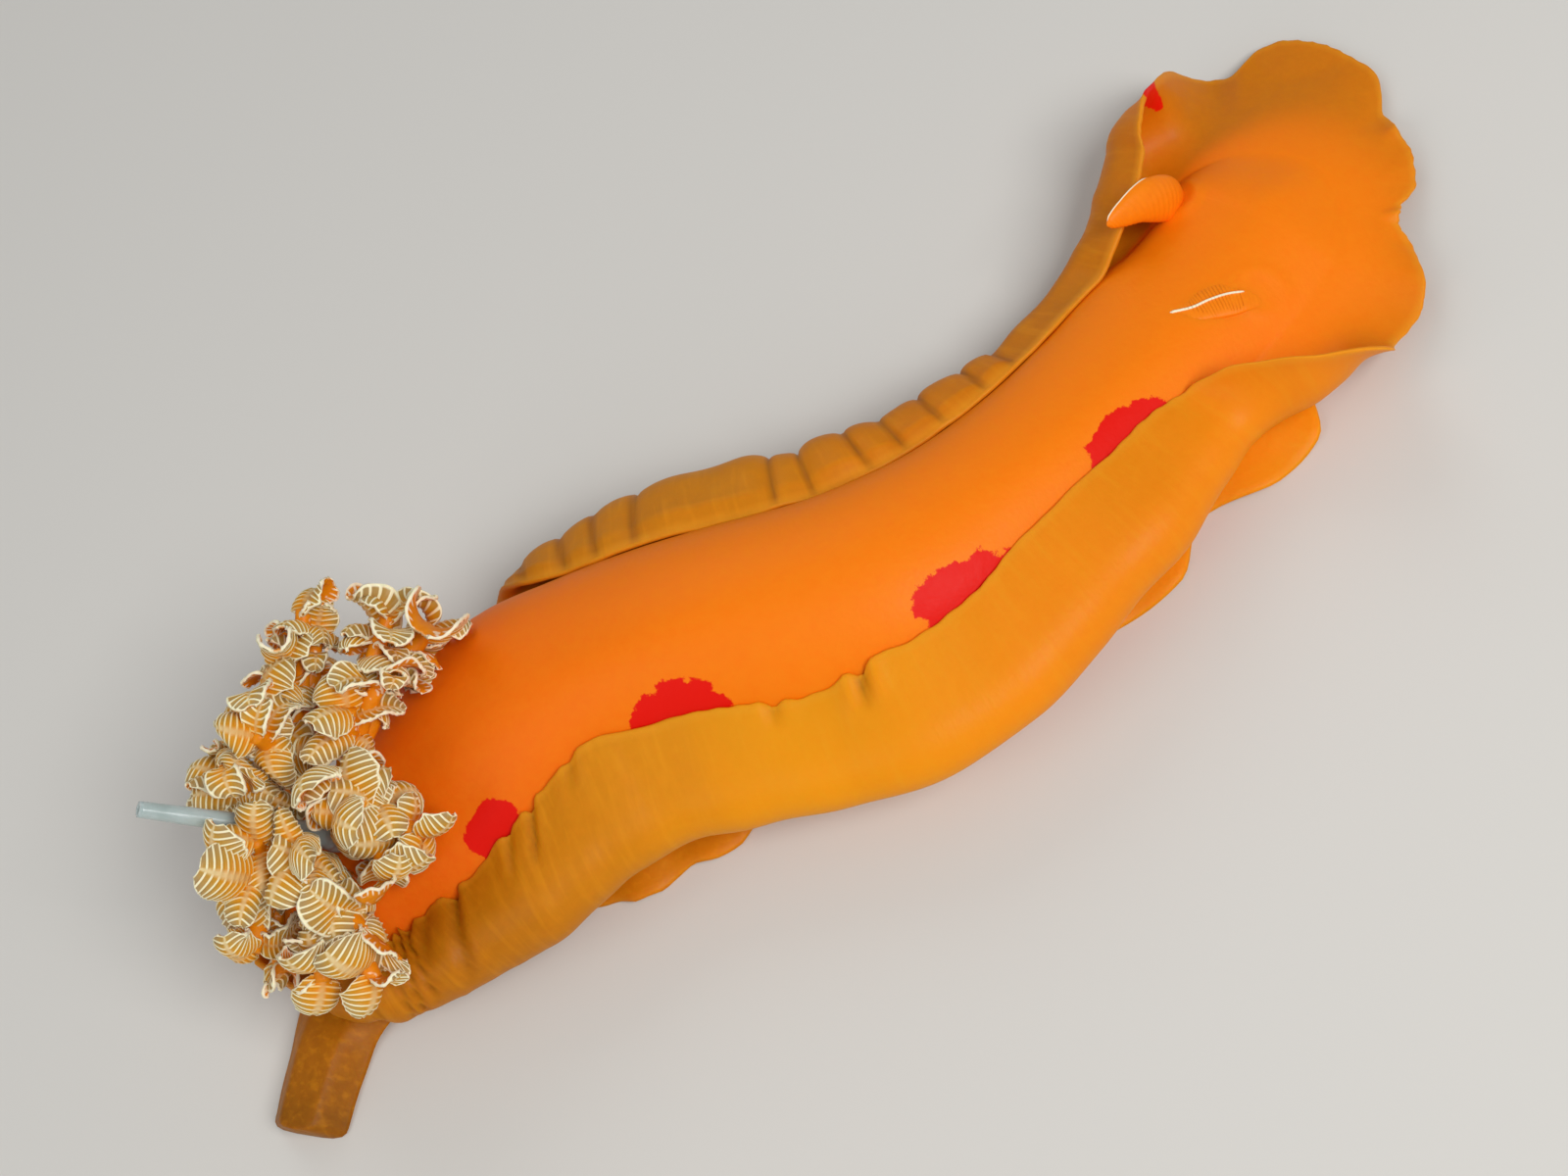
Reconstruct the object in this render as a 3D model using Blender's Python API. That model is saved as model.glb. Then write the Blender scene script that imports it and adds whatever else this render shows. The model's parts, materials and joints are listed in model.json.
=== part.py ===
"""A spanish dancer (Hexabranchus sanguineus), life size, crawling with both mantle margins rolled up.

Frame: +X towards the head, +Y the animal's left, +Z up, with the sole of the foot on z = 0.
The tables below are in millimetres and the meshes in metres.

The body is lofted from sections that stand square to the spine, with a fan of sections round each end.
A place along the body's edge is a number that runs once round it: 0 to 1 up the right side from the rear,
1 to 2 round the head, 2 to 3 back down the left side, and 3 to 4 round the rear.
"""
import math

import bmesh
import bpy
import numpy as np
from mathutils import Vector
from mathutils.bvhtree import BVHTree

MM = 0.001

# Sizes that drive the rest
GAP = 0.3                 # left between nodes that touch
FOOT_TOP = 3.0            # thickness of the foot under the body
FLANK_INSET = 2.5         # how far the flank runs in below the mantle
RIM = 1.1                 # thickness of the mantle at its rim
EDGE = 0.9                # thickness of the foot at its edge
THINNED = 0.8             # share of a union's triangles that is kept, the slivers at its seams going first

# The spine's path on the floor, rear to front
SPINE = [(-66, 5), (-50, 7), (-31, 4), (-12, -2.5), (7, -9), (25, -10.5), (43, -8), (60, -2.5), (70, 1), (77, 3.5)]
# Height of the back along the spine's share, 0 at the rear
HEIGHT = [(0, 17), (0.11, 20.5), (0.24, 24.5), (0.38, 26.5), (0.52, 25), (0.64, 21.5), (0.77, 17), (0.89, 13.5),
          (1, 11)]
# Round the edge: height of the groove where back and mantle meet
GROOVE = [(0, 8.5), (0.11, 10), (0.24, 11), (0.52, 11), (0.77, 9), (0.89, 8), (1, 7), (1.5, 6.5), (2, 7), (2.11, 8),
          (2.23, 9), (2.48, 11), (2.76, 11), (2.89, 10), (3, 8.5), (3.5, 7.5)]
# Round the edge: distance of the groove from the spine
ROOT = [(0, 13), (0.11, 15), (0.24, 15.5), (0.38, 15.5), (0.52, 15), (0.64, 13), (0.77, 10.5), (0.89, 11.5),
        (1, 12.5), (1.25, 11.5), (1.5, 13), (2, 13), (2.11, 14), (2.23, 14), (2.36, 14), (2.48, 15), (2.62, 16),
        (2.76, 16.5), (2.89, 15.5), (3, 13), (3.5, 10)]
# Round the edge: how full the back is, 0.5 an ellipse, over 1 a slope that flattens outwards
FULLNESS = [(0, 0.7), (0.7, 0.7), (0.89, 0.9), (1, 1.4), (1.15, 1.7), (1.85, 1.7), (2, 1.2), (2.1, 0.6),
            (2.3, 0.42), (2.8, 0.42), (3, 0.55), (3.5, 0.8)]
# Round the edge: width of the mantle margin from groove to rim
WIDTH = [(0, 25), (0.11, 27), (0.24, 29), (0.38, 28), (0.52, 27), (0.64, 26), (0.77, 24.5), (0.89, 20.5), (0.97, 13),
         (1.07, 9.5), (1.18, 8), (1.25, 7.5), (1.34, 10.5), (1.46, 13.5), (1.6, 18), (1.66, 19.5), (1.74, 15),
         (1.84, 16), (1.92, 17), (2, 17.5), (2.15, 16.5), (2.3, 17), (2.5, 17.5), (2.7, 18.5), (2.9, 19), (3, 18),
         (3.15, 15), (3.5, 11), (3.85, 19)]
# Round the edge: the share of its full roll, in to where the rim rests on the back
ROLL = [(0, 1), (0.5, 1), (0.86, 1), (0.93, 0.75), (1, 0.3), (1.06, 0.05), (1.2, 0), (1.74, 0), (1.84, 0.2),
        (1.92, 0.45), (2, 0.65), (2.08, 0.85), (2.16, 1), (2.8, 1), (3, 1), (3.2, 0.65), (3.5, 0.5), (3.8, 0.75)]
# Round the edge: the share of the margin's width by which the roll has turned, after which it lies straight
BEND = [(0, 0.8), (0.11, 0.7), (0.24, 0.62), (0.5, 0.6), (0.77, 0.65), (0.9, 0.8), (1.5, 0.9), (2.1, 0.85),
        (2.5, 0.85), (3, 0.85), (3.5, 0.9)]
# Round the edge: slope of the margin where it leaves the groove, in degrees
SETOUT = [(0, -15), (0.8, -15), (1, -12), (1.3, -14), (1.7, -14), (2, -12), (2.2, -15), (3, -15), (3.5, -5)]
# Round the edge: thickness of the margin at the groove
THICK = [(0, 4.2), (0.8, 4), (1, 3), (1.5, 2.8), (2, 3), (2.2, 3.6), (3, 4), (3.5, 3.5)]

# The foot's path, tail to front, and its half widths by share of that path
FOOT_SPINE = [(-89.5, -14), (-84.5, -9), (-79, -4.5), (-66, 2.5), (-50, 6), (-31, 3.5), (-12, -2.5), (7, -9),
              (25, -10.5), (43, -8), (60, -2.5), (71, 1.5)]
FOOT_RIGHT = [(0, 5.2), (0.05, 5.6), (0.1, 7), (0.2, 12.5), (0.26, 17), (0.32, 22), (0.37, 24), (0.42, 20), (0.5, 17),
              (0.65, 15.5), (0.74, 17), (0.79, 18.5), (0.83, 14.5), (0.88, 20), (0.92, 21), (0.96, 15), (1, 10)]
FOOT_LEFT = [(0, 5.2), (0.05, 5.8), (0.1, 7), (0.2, 12.5), (0.3, 17), (0.5, 18), (0.65, 15.5), (0.8, 14.5), (0.9, 14),
             (1, 10)]

# The vent, the tip of its tube, and each gill's bearings round it from the head, with where its tufts are
VENT = (-64, 7)
VENT_TIP = (-78.5, 14, 38)
GILLS = {
    "gill_1": (13, 50, [(-45, 21.5, 27), (-39, 20, 24), (-52, 13, 30)]),
    "gill_2": (50, 104, [(-51.5, 27, 28), (-60, 21, 33), (-62.5, 14.5, 35)]),
    "gill_3": (104, 152, [(-68, 16, 32), (-67, 22, 26), (-73, 15, 25)]),
    "gill_4": (-88, 13, [(-55.5, 1, 27), (-53.5, -5, 24), (-58.5, 6.5, 31)]),
    "gill_5": (156, 222, [(-75, 5, 30), (-72.5, 1.5, 29), (-78.5, -3.5, 24)]),
    "gill_6": (222, 272, [(-73.5, -11, 21), (-68, -14.5, 20), (-65, -1.5, 28)]),
}

# Seed of each gill's leaves
SEEDS = {"gill_1": 11, "gill_2": 18, "gill_3": 10, "gill_4": 23, "gill_5": 3, "gill_6": 15}

# sRGB colours of the parts
ORANGE = "f77101"
OCHRE = "dd8504"
FOOT_COLOUR = "c9760c"
GILL_COLOUR = "e3b876"
PAPILLA_COLOUR = "c9d8d6"


def follow(table, at):
    """A smooth curve through (place, value) pairs that never swings past them."""
    places, values = np.array(table, float).T
    gap = np.diff(places)
    rise = np.diff(values) / gap
    slope = np.zeros(len(places))
    turning = rise[:-1] * rise[1:] > 0
    slope[1:-1][turning] = 2 * rise[:-1][turning] * rise[1:][turning] / (rise[:-1] + rise[1:])[turning]
    slope[0], slope[-1] = rise[0], rise[-1]
    i = np.clip(np.searchsorted(places, at) - 1, 0, len(gap) - 1)
    t = (at - places[i]) / gap[i]
    return (values[i] * (1 + 2 * t) * (1 - t) ** 2 + gap[i] * slope[i] * t * (1 - t) ** 2
            + values[i + 1] * t * t * (3 - 2 * t) + gap[i] * slope[i + 1] * t * t * (t - 1))


def ring(table, around):
    """As follow, for a table that runs once round the edge and closes."""
    before = [(place - 4, value) for place, value in table[-2:]]
    after = [(place + 4, value) for place, value in table[:2]]
    return follow(before + table + after, np.mod(around, 4))


def along(points, share):
    """Places and headings at shares of a smooth path on the floor."""
    p = np.array(points, float)
    ends = np.vstack([2 * p[0] - p[1], p, 2 * p[-1] - p[-2]])
    t = np.linspace(0, 1, 60, endpoint=False)[:, None]
    fine = []
    for a, b, c, d in zip(ends, ends[1:], ends[2:], ends[3:]):
        fine.append(0.5 * (2 * b + (c - a) * t + (2 * a - 5 * b + 4 * c - d) * t ** 2
                           + (3 * b - a - 3 * c + d) * t ** 3))
    fine = np.vstack(fine + [p[-1:]])
    for _ in range(200):
        fine[1:-1] += 0.25 * (fine[:-2] + fine[2:] - 2 * fine[1:-1])
    length = np.concatenate([[0], np.cumsum(np.linalg.norm(np.diff(fine, axis=0), axis=1))])
    at = np.asarray(share) * length[-1]
    place = np.stack([np.interp(at, length, fine[:, k]) for k in (0, 1)], -1)
    steps = np.gradient(fine, length, axis=0)
    heading = np.stack([np.interp(at, length, steps[:, k]) for k in (0, 1)], -1)
    return place, heading / np.linalg.norm(heading, axis=-1, keepdims=True)


def spokes(around):
    """For places on the edge: the spine's point, the way out from it, and the share along the spine."""
    a = np.mod(np.asarray(around, float), 4)
    side = np.floor(a).astype(int)
    share = np.choose(side, [a, np.ones_like(a), 3 - a, np.zeros_like(a)])
    turn = np.radians(np.choose(side, [-90 + 0 * a, -90 + 180 * (a - 1), 90 + 0 * a, 90 + 180 * (a - 3)]))
    root, heading = along(SPINE, share)
    out = np.stack([heading[..., 0] * np.cos(turn) - heading[..., 1] * np.sin(turn),
                    heading[..., 0] * np.sin(turn) + heading[..., 1] * np.cos(turn)], -1)
    return root, out, share


def place(around, distance, height):
    """Points at distances from the spine and heights, one row for each place on the edge."""
    root, out, _ = spokes(around)
    flat = root[:, None, :] + out[:, None, :] * distance[..., None]
    return np.concatenate([flat, height[..., None]], -1)


def back(across, around, share):
    """Height of the back at a share of the way from the spine out to the groove."""
    top, groove = follow(HEIGHT, share), ring(GROOVE, around)
    return groove + (top - groove) * np.clip(1 - across ** 2, 0, 1) ** ring(FULLNESS, around)


def nearest(points):
    """The place on the edge whose spoke passes through each floor point, with distance and share."""
    shares = np.linspace(0, 1, 400)
    spine, heading = along(SPINE, shares)
    away = points[:, None, :] - spine[None]
    i = (away ** 2).sum(-1).argmin(1)
    step, head = away[np.arange(len(i)), i], heading[i]
    forward = (step * head).sum(-1)
    left = head[:, 0] * step[:, 1] - head[:, 1] * step[:, 0]
    angle = np.degrees(np.arctan2(left, forward))
    side = np.where(left < 0, shares[i], 3 - shares[i])
    front = 1 + (angle + 90) / 180
    rear = 3 + np.mod(angle - 90, 360) / 180
    around = np.where((i == len(shares) - 1) & (forward > 0), front, np.where((i == 0) & (forward < 0), rear, side))
    return around, np.linalg.norm(step, axis=-1), shares[i]


def back_at(points):
    """Height of the back above floor points."""
    around, distance, share = nearest(np.atleast_2d(points))
    return back(distance / ring(ROOT, around), around, share)


# The mantle margin

MARGIN_STEPS = 12
EDGE_LOBES = [(1.0, 8.3, 0.6), (0.6, 13.7, 2.1)]        # height in mm, lobes per unit round the edge, phase
PILLOW = 9.5                                            # length of one swelling along the left margin
SETTLE_PASSES = 16
REST_GAP = GAP + 0.2                                    # left under the rim where it rests on the back


def margin_width(around):
    """Width of the margin, with the low lobes of its rim."""
    lobes = sum(size * np.sin(2 * np.pi * count * around + phase) for size, count, phase in EDGE_LOBES)
    return ring(WIDTH, around) + 0.55 * lobes


def margin_line(around, turn, steps):
    """Mid-line of the margin's section as it leaves the groove and rolls: distances, heights and slopes."""
    u = np.linspace(0, 1, steps)
    bend = ring(BEND, around)[:, None]
    t = np.clip((u - 0.04) / (bend - 0.04), 0, 1)
    slope = np.radians(ring(SETOUT, around)[:, None] + turn[:, None] * t * t * (3 - 2 * t))
    step = margin_width(around)[:, None] / (steps - 1)
    middle = (slope[:, 1:] + slope[:, :-1]) / 2
    start = np.zeros((len(around), 1))
    distance = ring(ROOT, around)[:, None] + GAP + np.hstack([start, np.cumsum(np.cos(middle) * step, 1)])
    height = (ring(GROOVE, around) - ring(THICK, around) / 2)[:, None] + np.hstack(
        [start, np.cumsum(np.sin(middle) * step, 1)])
    return distance, height, slope


def clearance(distance, height, around, share):
    """How far each point of a section is from the back, below zero inside it."""
    root = ring(ROOT, around)[:, None]
    x = np.sin(np.linspace(0, np.pi / 2, 24))[None]
    back_distance, back_height = x * root, back(x, around[:, None], share[:, None])
    far = np.sqrt(((distance[:, :, None] - back_distance[:, None]) ** 2
                   + (height[:, :, None] - back_height[:, None]) ** 2).min(2))
    under = height < back(np.clip(distance / root, 0, 1), around[:, None], share[:, None])
    return np.where(under & (distance < root), -far, far)


def margin_thickness(around, steps):
    """Thickness of the margin from the groove to the rim."""
    u = np.linspace(0, 1, steps)[None]
    return RIM + (ring(THICK, around)[:, None] - RIM) * (1 - u) ** 1.3


def rolled(around):
    """How many degrees each section of the margin turns: until its rim rests on the back, or its share of that."""
    _, _, share = spokes(around)
    half = margin_thickness(around, 40)[:, 16:] / 2
    low, high = np.zeros(len(around)), np.full(len(around), 330.0)
    for _ in range(SETTLE_PASSES):
        middle = (low + high) / 2
        distance, height, _ = margin_line(around, middle, 40)
        room = clearance(distance[:, 16:], height[:, 16:], around, share) - half
        touches = room.min(1) < REST_GAP
        low, high = np.where(touches, low, middle), np.where(touches, middle, high)
    return ring(ROLL, around) * low


def margin_faces(around):
    """Both faces of the margin at places on the edge: the one that lies inside the roll, and the outer one."""
    distance, height, slope = margin_line(around, rolled(around), MARGIN_STEPS)
    u = np.linspace(0, 1, MARGIN_STEPS)[None]
    thick = margin_thickness(around, MARGIN_STEPS)
    veil = np.clip(np.minimum(around - 1.05, 1.9 - around) / 0.15, 0, 1)[:, None]
    height = height + veil * 0.8 * u ** 1.5 * np.sin(2 * np.pi * 5.3 * around + 0.7)[:, None]
    height = np.maximum(height, 0.7 + thick / 2)
    pillows = np.abs(np.sin(np.pi * along_edge(around) / PILLOW)) ** 0.6
    left = np.clip(np.minimum(around - 2.12, 2.97 - around) / 0.06, 0, 1)
    swell = (1.3 * pillows * left)[:, None] * np.clip(np.minimum(u - 0.25, 1.02 - u) / 0.2, 0, 1)
    tilt = slope * np.clip(u / 0.15, 0, 1)
    low = thick / 2 + swell
    inner = place(around, distance - np.sin(tilt) * thick / 2, height + np.cos(tilt) * thick / 2)
    outer = place(around, distance + np.sin(tilt) * low, height - np.cos(tilt) * low)
    return inner, outer


def along_edge(around):
    """Millimetres along the spine from the rear, for places on the edge."""
    spine, _ = along(SPINE, np.linspace(0, 1, 200))
    return spokes(around)[2] * np.linalg.norm(np.diff(spine, axis=0), axis=1).sum()


# Making meshes

def material(name, colour, roughness=0.42):
    """A wet, soft skin in one colour."""
    made = bpy.data.materials.new(name)
    made.use_nodes = True
    shader = made.node_tree.nodes["Principled BSDF"]
    channels = [int(colour[i:i + 2], 16) / 255 for i in (0, 2, 4)]
    linear = [c / 12.92 if c <= 0.04045 else ((c + 0.055) / 1.055) ** 2.4 for c in channels]
    shader.inputs["Base Color"].default_value = (*linear, 1)
    shader.inputs["Roughness"].default_value = roughness
    shader.inputs["Metallic"].default_value = 0.0
    return made


def solid(name, points, faces, skin, where):
    """A closed mesh object from points in millimetres, its faces turned outwards."""
    mesh = bpy.data.meshes.new(name)
    mesh.from_pydata((np.asarray(points) * MM).tolist(), [], faces)
    made = bmesh.new()
    made.from_mesh(mesh)
    bmesh.ops.recalc_face_normals(made, faces=made.faces)
    made.to_mesh(mesh)
    made.free()
    mesh.shade_smooth()
    mesh.materials.append(skin)
    body = bpy.data.objects.new(name, mesh)
    where.objects.link(body)
    return body


def slab(top, bottom):
    """Points and triangles of one closed body between two matching grids, split alike on both faces."""
    rows, cols = top.shape[:2]
    points = np.concatenate([top.reshape(-1, 3), bottom.reshape(-1, 3)])
    over = np.arange(rows * cols).reshape(rows, cols)
    under = over + rows * cols
    faces = []

    def sheet(a, b, c, d):
        for w, x, y, z in zip(a.ravel(), b.ravel(), c.ravel(), d.ravel()):
            faces.extend([(int(w), int(x), int(y)), (int(w), int(y), int(z))])

    sheet(over[:-1, :-1], over[1:, :-1], over[1:, 1:], over[:-1, 1:])
    sheet(under[:-1, :-1], under[:-1, 1:], under[1:, 1:], under[1:, :-1])
    sheet(over[0, :-1], over[0, 1:], under[0, 1:], under[0, :-1])
    sheet(over[-1, :-1], under[-1, :-1], under[-1, 1:], over[-1, 1:])
    sheet(over[:-1, 0], under[:-1, 0], under[1:, 0], over[1:, 0])
    sheet(over[:-1, -1], over[1:, -1], under[1:, -1], under[:-1, -1])
    return points, faces


def limb(spine, radii, sides=8, flat=1.0, face=(0, 0, 1)):
    """Points and triangles of a tapering limb: rings square to its path, squeezed by flat along face."""
    path = np.array(spine, float)
    heading = np.gradient(path, axis=0)
    heading /= np.linalg.norm(heading, axis=1, keepdims=True)
    across = np.cross(heading[0], np.array(face, float) + (0.01, 0, 0))
    wide = np.zeros_like(path)
    for r, ahead in enumerate(heading):
        across = across - ahead * across.dot(ahead)
        across = across / np.linalg.norm(across)
        wide[r] = across
    deep = np.cross(wide, heading)
    turn = np.linspace(0, 2 * np.pi, sides, endpoint=False)
    ring_points = (path[:, None] + np.asarray(radii, float)[:, None, None]
                   * (wide[:, None] * np.cos(turn)[None, :, None] + flat * deep[:, None] * np.sin(turn)[None, :, None]))
    rings = len(path)
    points = np.vstack([ring_points.reshape(-1, 3), path[:1], path[-1:]])
    faces = []
    for k in range(sides):
        n = (k + 1) % sides
        for r in range(rings - 1):
            a, b, c, d = r * sides + k, r * sides + n, (r + 1) * sides + n, (r + 1) * sides + k
            faces.extend([(a, b, c), (a, c, d)])
        faces.append((n, k, rings * sides))
        faces.append(((rings - 1) * sides + k, (rings - 1) * sides + n, rings * sides + 1))
    return points, faces


def largest_body(mesh):
    """Keep only the closed surface with the most room inside it."""
    made = bmesh.new()
    made.from_mesh(mesh)
    bmesh.ops.triangulate(made, faces=made.faces)
    left = set(made.faces)
    pieces = []
    while left:
        piece = [left.pop()]
        for face in piece:
            for edge in face.edges:
                joined = [other for other in edge.link_faces if other in left]
                left.difference_update(joined)
                piece.extend(joined)
        pieces.append(piece)

    def room(piece):
        return sum(a.co.dot(b.co.cross(c.co)) for a, b, c in (face.verts for face in piece))

    pieces.sort(key=room)
    spare = [face for piece in pieces[:-1] for face in piece]
    bmesh.ops.delete(made, geom=spare, context="FACES")
    made.to_mesh(mesh)
    made.free()


def fuse(name, shapes, skin, where):
    """One node from many closed shapes, by one Boolean union."""
    base = solid(name, *shapes[0], skin, where)
    pieces = bpy.data.collections.new(name + "_pieces")
    bpy.context.scene.collection.children.link(pieces)
    for number, shape in enumerate(shapes[1:]):
        solid(f"{name}_piece_{number}", *shape, skin, pieces)
    union = base.modifiers.new("union", "BOOLEAN")
    union.operation = "UNION"
    union.operand_type = "COLLECTION"
    union.collection = pieces
    union.solver = "EXACT"
    base.modifiers.new("thin", "DECIMATE").ratio = THINNED
    bpy.context.view_layer.update()
    joined = bpy.data.meshes.new_from_object(base.evaluated_get(bpy.context.evaluated_depsgraph_get()))
    base.modifiers.clear()
    base.data = joined
    for piece in list(pieces.objects):
        bpy.data.objects.remove(piece)
    bpy.data.collections.remove(pieces)
    largest_body(joined)
    joined.shade_smooth()
    return base


# The trunk of the body

SPINE_GAP = GAP / 290         # half the gap between two lengths, as a share of the 147 mm spine
BODY_LENGTHS = {"body_rear": (0, 0.27), "body_middle": (0.27, 0.5), "body_front": (0.5, 0.72),
                "neck": (0.72, 0.86), "head": (0.86, 1)}
BODY_STEP = 0.03
BODY_COLUMNS = 15
FAN_STEPS = [0.06, 0.13, 0.2, 0.27, 0.34, 0.41, 0.47]


def body_rows(start, end):
    """Pairs of places on the edge, right and left, whose chords make one length of the body."""
    low = start + (SPINE_GAP if start > 0 else 0)
    high = end - (SPINE_GAP if end < 1 else 0)
    shares = np.linspace(low, high, max(3, round((high - low) / BODY_STEP) + 1))
    rows = [(share, 3 - share) for share in shares]
    if start == 0:
        rows = [(4 - step, 3 + step) for step in reversed(FAN_STEPS)] + rows
    if end == 1:
        rows = rows + [(1 + step, 2 - step) for step in FAN_STEPS]
    return np.array(rows)


def body_length(name, start, end, skin, where):
    """One length of the body: the back, its side walls down to the flank, and the flat underside."""
    pairs = body_rows(start, end)
    right = place(pairs[:, 0], ring(ROOT, pairs[:, 0])[:, None], ring(GROOVE, pairs[:, 0])[:, None])[:, 0]
    left = place(pairs[:, 1], ring(ROOT, pairs[:, 1])[:, None], ring(GROOVE, pairs[:, 1])[:, None])[:, 0]
    centre, _, _ = spokes(pairs[:, 0])
    t = (1 - np.cos(np.linspace(0, np.pi, BODY_COLUMNS))) / 2
    t = 0.6 * t + 0.4 * np.linspace(0, 1, BODY_COLUMNS)
    top = right[:, None] * (1 - t)[None, :, None] + left[:, None] * t[None, :, None]
    shape = top.shape[:2]
    away = top[..., :2] - centre[:, None]
    around, distance, share = nearest(top[..., :2].reshape(-1, 2))
    fan = (pairs[:, 0] > 1)[:, None] & np.ones(shape, bool)
    side = np.where(t[None] < 0.5, pairs[:, :1], pairs[:, 1:])
    around = np.where(fan, around.reshape(shape), side)
    share = np.where(fan, share.reshape(shape), spokes(pairs[:, 0])[2][:, None])
    across = np.linalg.norm(away, axis=-1) / ring(ROOT, around)
    top[..., 2] = back(across, around, share)
    top[:, 0, 2] = right[:, 2]
    top[:, -1, 2] = left[:, 2]
    middle = (right + left) / 2
    half = np.linalg.norm(right - left, axis=1) / 2
    keep = 1 - np.minimum(FLANK_INSET, 0.6 * half) / half
    level = np.linspace(0, 1, BODY_COLUMNS - 2)
    inner_right = middle + (right - middle) * keep[:, None]
    inner_left = middle + (left - middle) * keep[:, None]
    flat = inner_right[:, None] * (1 - level)[None, :, None] + inner_left[:, None] * level[None, :, None]
    flat[..., 2] = FOOT_TOP + GAP
    wall_right, wall_left = right.copy(), left.copy()
    wall_right[:, 2] -= ring(THICK, pairs[:, 0])
    wall_left[:, 2] -= ring(THICK, pairs[:, 1])
    bottom = np.concatenate([wall_right[:, None], flat, wall_left[:, None]], 1)
    return solid(name, *slab(top, bottom), skin, where)


# The mantle margin's lengths, by their places on the edge

MARGIN_LENGTHS = {
    "margin_right_rear": (0, 0.34, 12), "margin_right_middle": (0.34, 0.66, 12), "margin_right_front": (0.66, 1, 13),
    "veil_right": (1, 1.5, 15), "veil_left": (1.5, 2, 17), "margin_left_front": (2, 2.32, 15),
    "margin_left_middle": (2.32, 2.66, 19), "margin_left_rear": (2.66, 3, 19), "margin_tail": (3, 4, 17),
}


def edge_gap(around):
    """Half the gap between two margins at a place on the edge: a share of the spine, or of a fan's half turn."""
    fan = 0.5 * GAP / (np.pi * ring(ROOT, np.array([around]))[0])
    return 1.3 * SPINE_GAP if around % 4 in (0.34, 0.66, 2.32, 2.66) else 1.2 * fan


def margin_length(name, start, end, rows, skin, where):
    """One length of the rolled margin."""
    around = np.linspace(start + edge_gap(start), end - edge_gap(end), rows)
    inner, outer = margin_faces(around)
    return solid(name, *slab(inner, outer), skin, where)


# The foot

FOOT_LENGTHS = {"tail": (0, 0.14), "foot_rear": (0.14, 0.4), "foot_middle": (0.4, 0.7), "foot_front": (0.7, 1)}
FOOT_SPAN = 174               # length of the foot's path
FRONT_ROUND = 8               # how far the foot's front runs on past its path
TAIL_ROUND = 2.2              # how far the tail's blunt end runs on past its path
FOOT_COLUMNS = 13
FOOT_STEP = 0.029
FLAT_SOLE = 0.6               # share of the foot's half width that lies flat before its edge lifts
EDGE_LIFT = 0.9               # how high its edge's ripples rise


def foot_length(name, start, end, skin, where):
    """One length of the foot: flat below, thin and a little lifted at its edges."""
    half_gap = 0.6 * GAP / FOOT_SPAN
    low = start + (half_gap if start > 0 else 0)
    high = end - (half_gap if end < 1 else 0)
    share = np.linspace(low, high, max(4, round((high - low) / FOOT_STEP) + 1))
    centre, heading = along(FOOT_SPINE, share)
    right, left = follow(FOOT_RIGHT, share), follow(FOOT_LEFT, share)
    if end == 1:
        run = np.array([0.25, 0.5, 0.75, 0.92])
        centre = np.vstack([centre, centre[-1] + heading[-1] * FRONT_ROUND * run[:, None]])
        heading = np.vstack([heading, np.tile(heading[-1], (4, 1))])
        share = np.append(share, np.ones(4))
        right = np.append(right, right[-1] * np.sqrt(1 - run ** 2))
        left = np.append(left, left[-1] * np.sqrt(1 - run ** 2))
    if start == 0:
        run = np.array([0.95, 0.5])
        round_off = (1 - run ** 4) ** 0.25
        centre = np.vstack([centre[0] - heading[0] * TAIL_ROUND * run[:, None], centre])
        heading = np.vstack([np.tile(heading[0], (2, 1)), heading])
        share = np.append(np.zeros(2), share)
        right = np.append(right[0] * round_off, right)
        left = np.append(left[0] * round_off, left)
    side = np.stack([-heading[:, 1], heading[:, 0]], -1)
    v = np.linspace(-1, 1, FOOT_COLUMNS)
    v = np.sign(v) * np.abs(v) ** 0.85
    offset = np.where(v[None] < 0, v[None] * right[:, None], v[None] * left[:, None])
    flat = centre[:, None] + side[:, None] * offset[..., None]
    tail = np.clip((0.1 - share) / 0.05, 0, 1)[:, None]
    thin = np.clip((np.abs(v)[None] - 0.45) / 0.55, 0, 1)
    crown = FOOT_TOP + tail * 1.4 * (1 - v[None] ** 2)
    top = EDGE + (crown - EDGE) * (1 - thin ** 1.5)
    wave = 0.5 + 0.5 * np.sin(2 * np.pi * 14 * share + 1.0)
    raised = np.clip((np.abs(v)[None] - FLAT_SOLE) / (1 - FLAT_SOLE), 0, 1)
    lift = (wave * np.clip(share / 0.1, 0, 1))[:, None] * EDGE_LIFT * raised ** 1.5
    upper = np.concatenate([flat, (top + lift)[..., None]], -1)
    lower = np.concatenate([flat, lift[..., None]], -1)
    return solid(name, *slab(upper, lower), skin, where)


# What stands on the back

def stand_on_back(points, sides):
    """Lay a limb's first ring and its centre on the back, a gap above it."""
    points = points.copy()
    first = list(range(sides)) + [len(points) - 2]
    points[first, 2] = back_at(points[first, :2]) + GAP
    return points


def smooth_path(knots, count):
    """Points on a smooth curve through a few knots in space."""
    p = np.array(knots, float)
    t = np.linspace(0, len(p) - 1, count)
    i = np.minimum(t.astype(int), len(p) - 2)
    ends = np.vstack([2 * p[0] - p[1], p, 2 * p[-1] - p[-2]])
    a, b, c, d = (ends[i + k] for k in range(4))
    t = (t - i)[:, None]
    return 0.5 * (2 * b + (c - a) * t + (2 * a - 5 * b + 4 * c - d) * t ** 2 + (3 * b - a - 3 * c + d) * t ** 3)


RHINOPHORES = {
    "rhinophore_left": ((70.5, 9.5), (61, 13, 18)),
    "rhinophore_right": ((69.5, -6.5), (60, -6, 18)),
}


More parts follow.
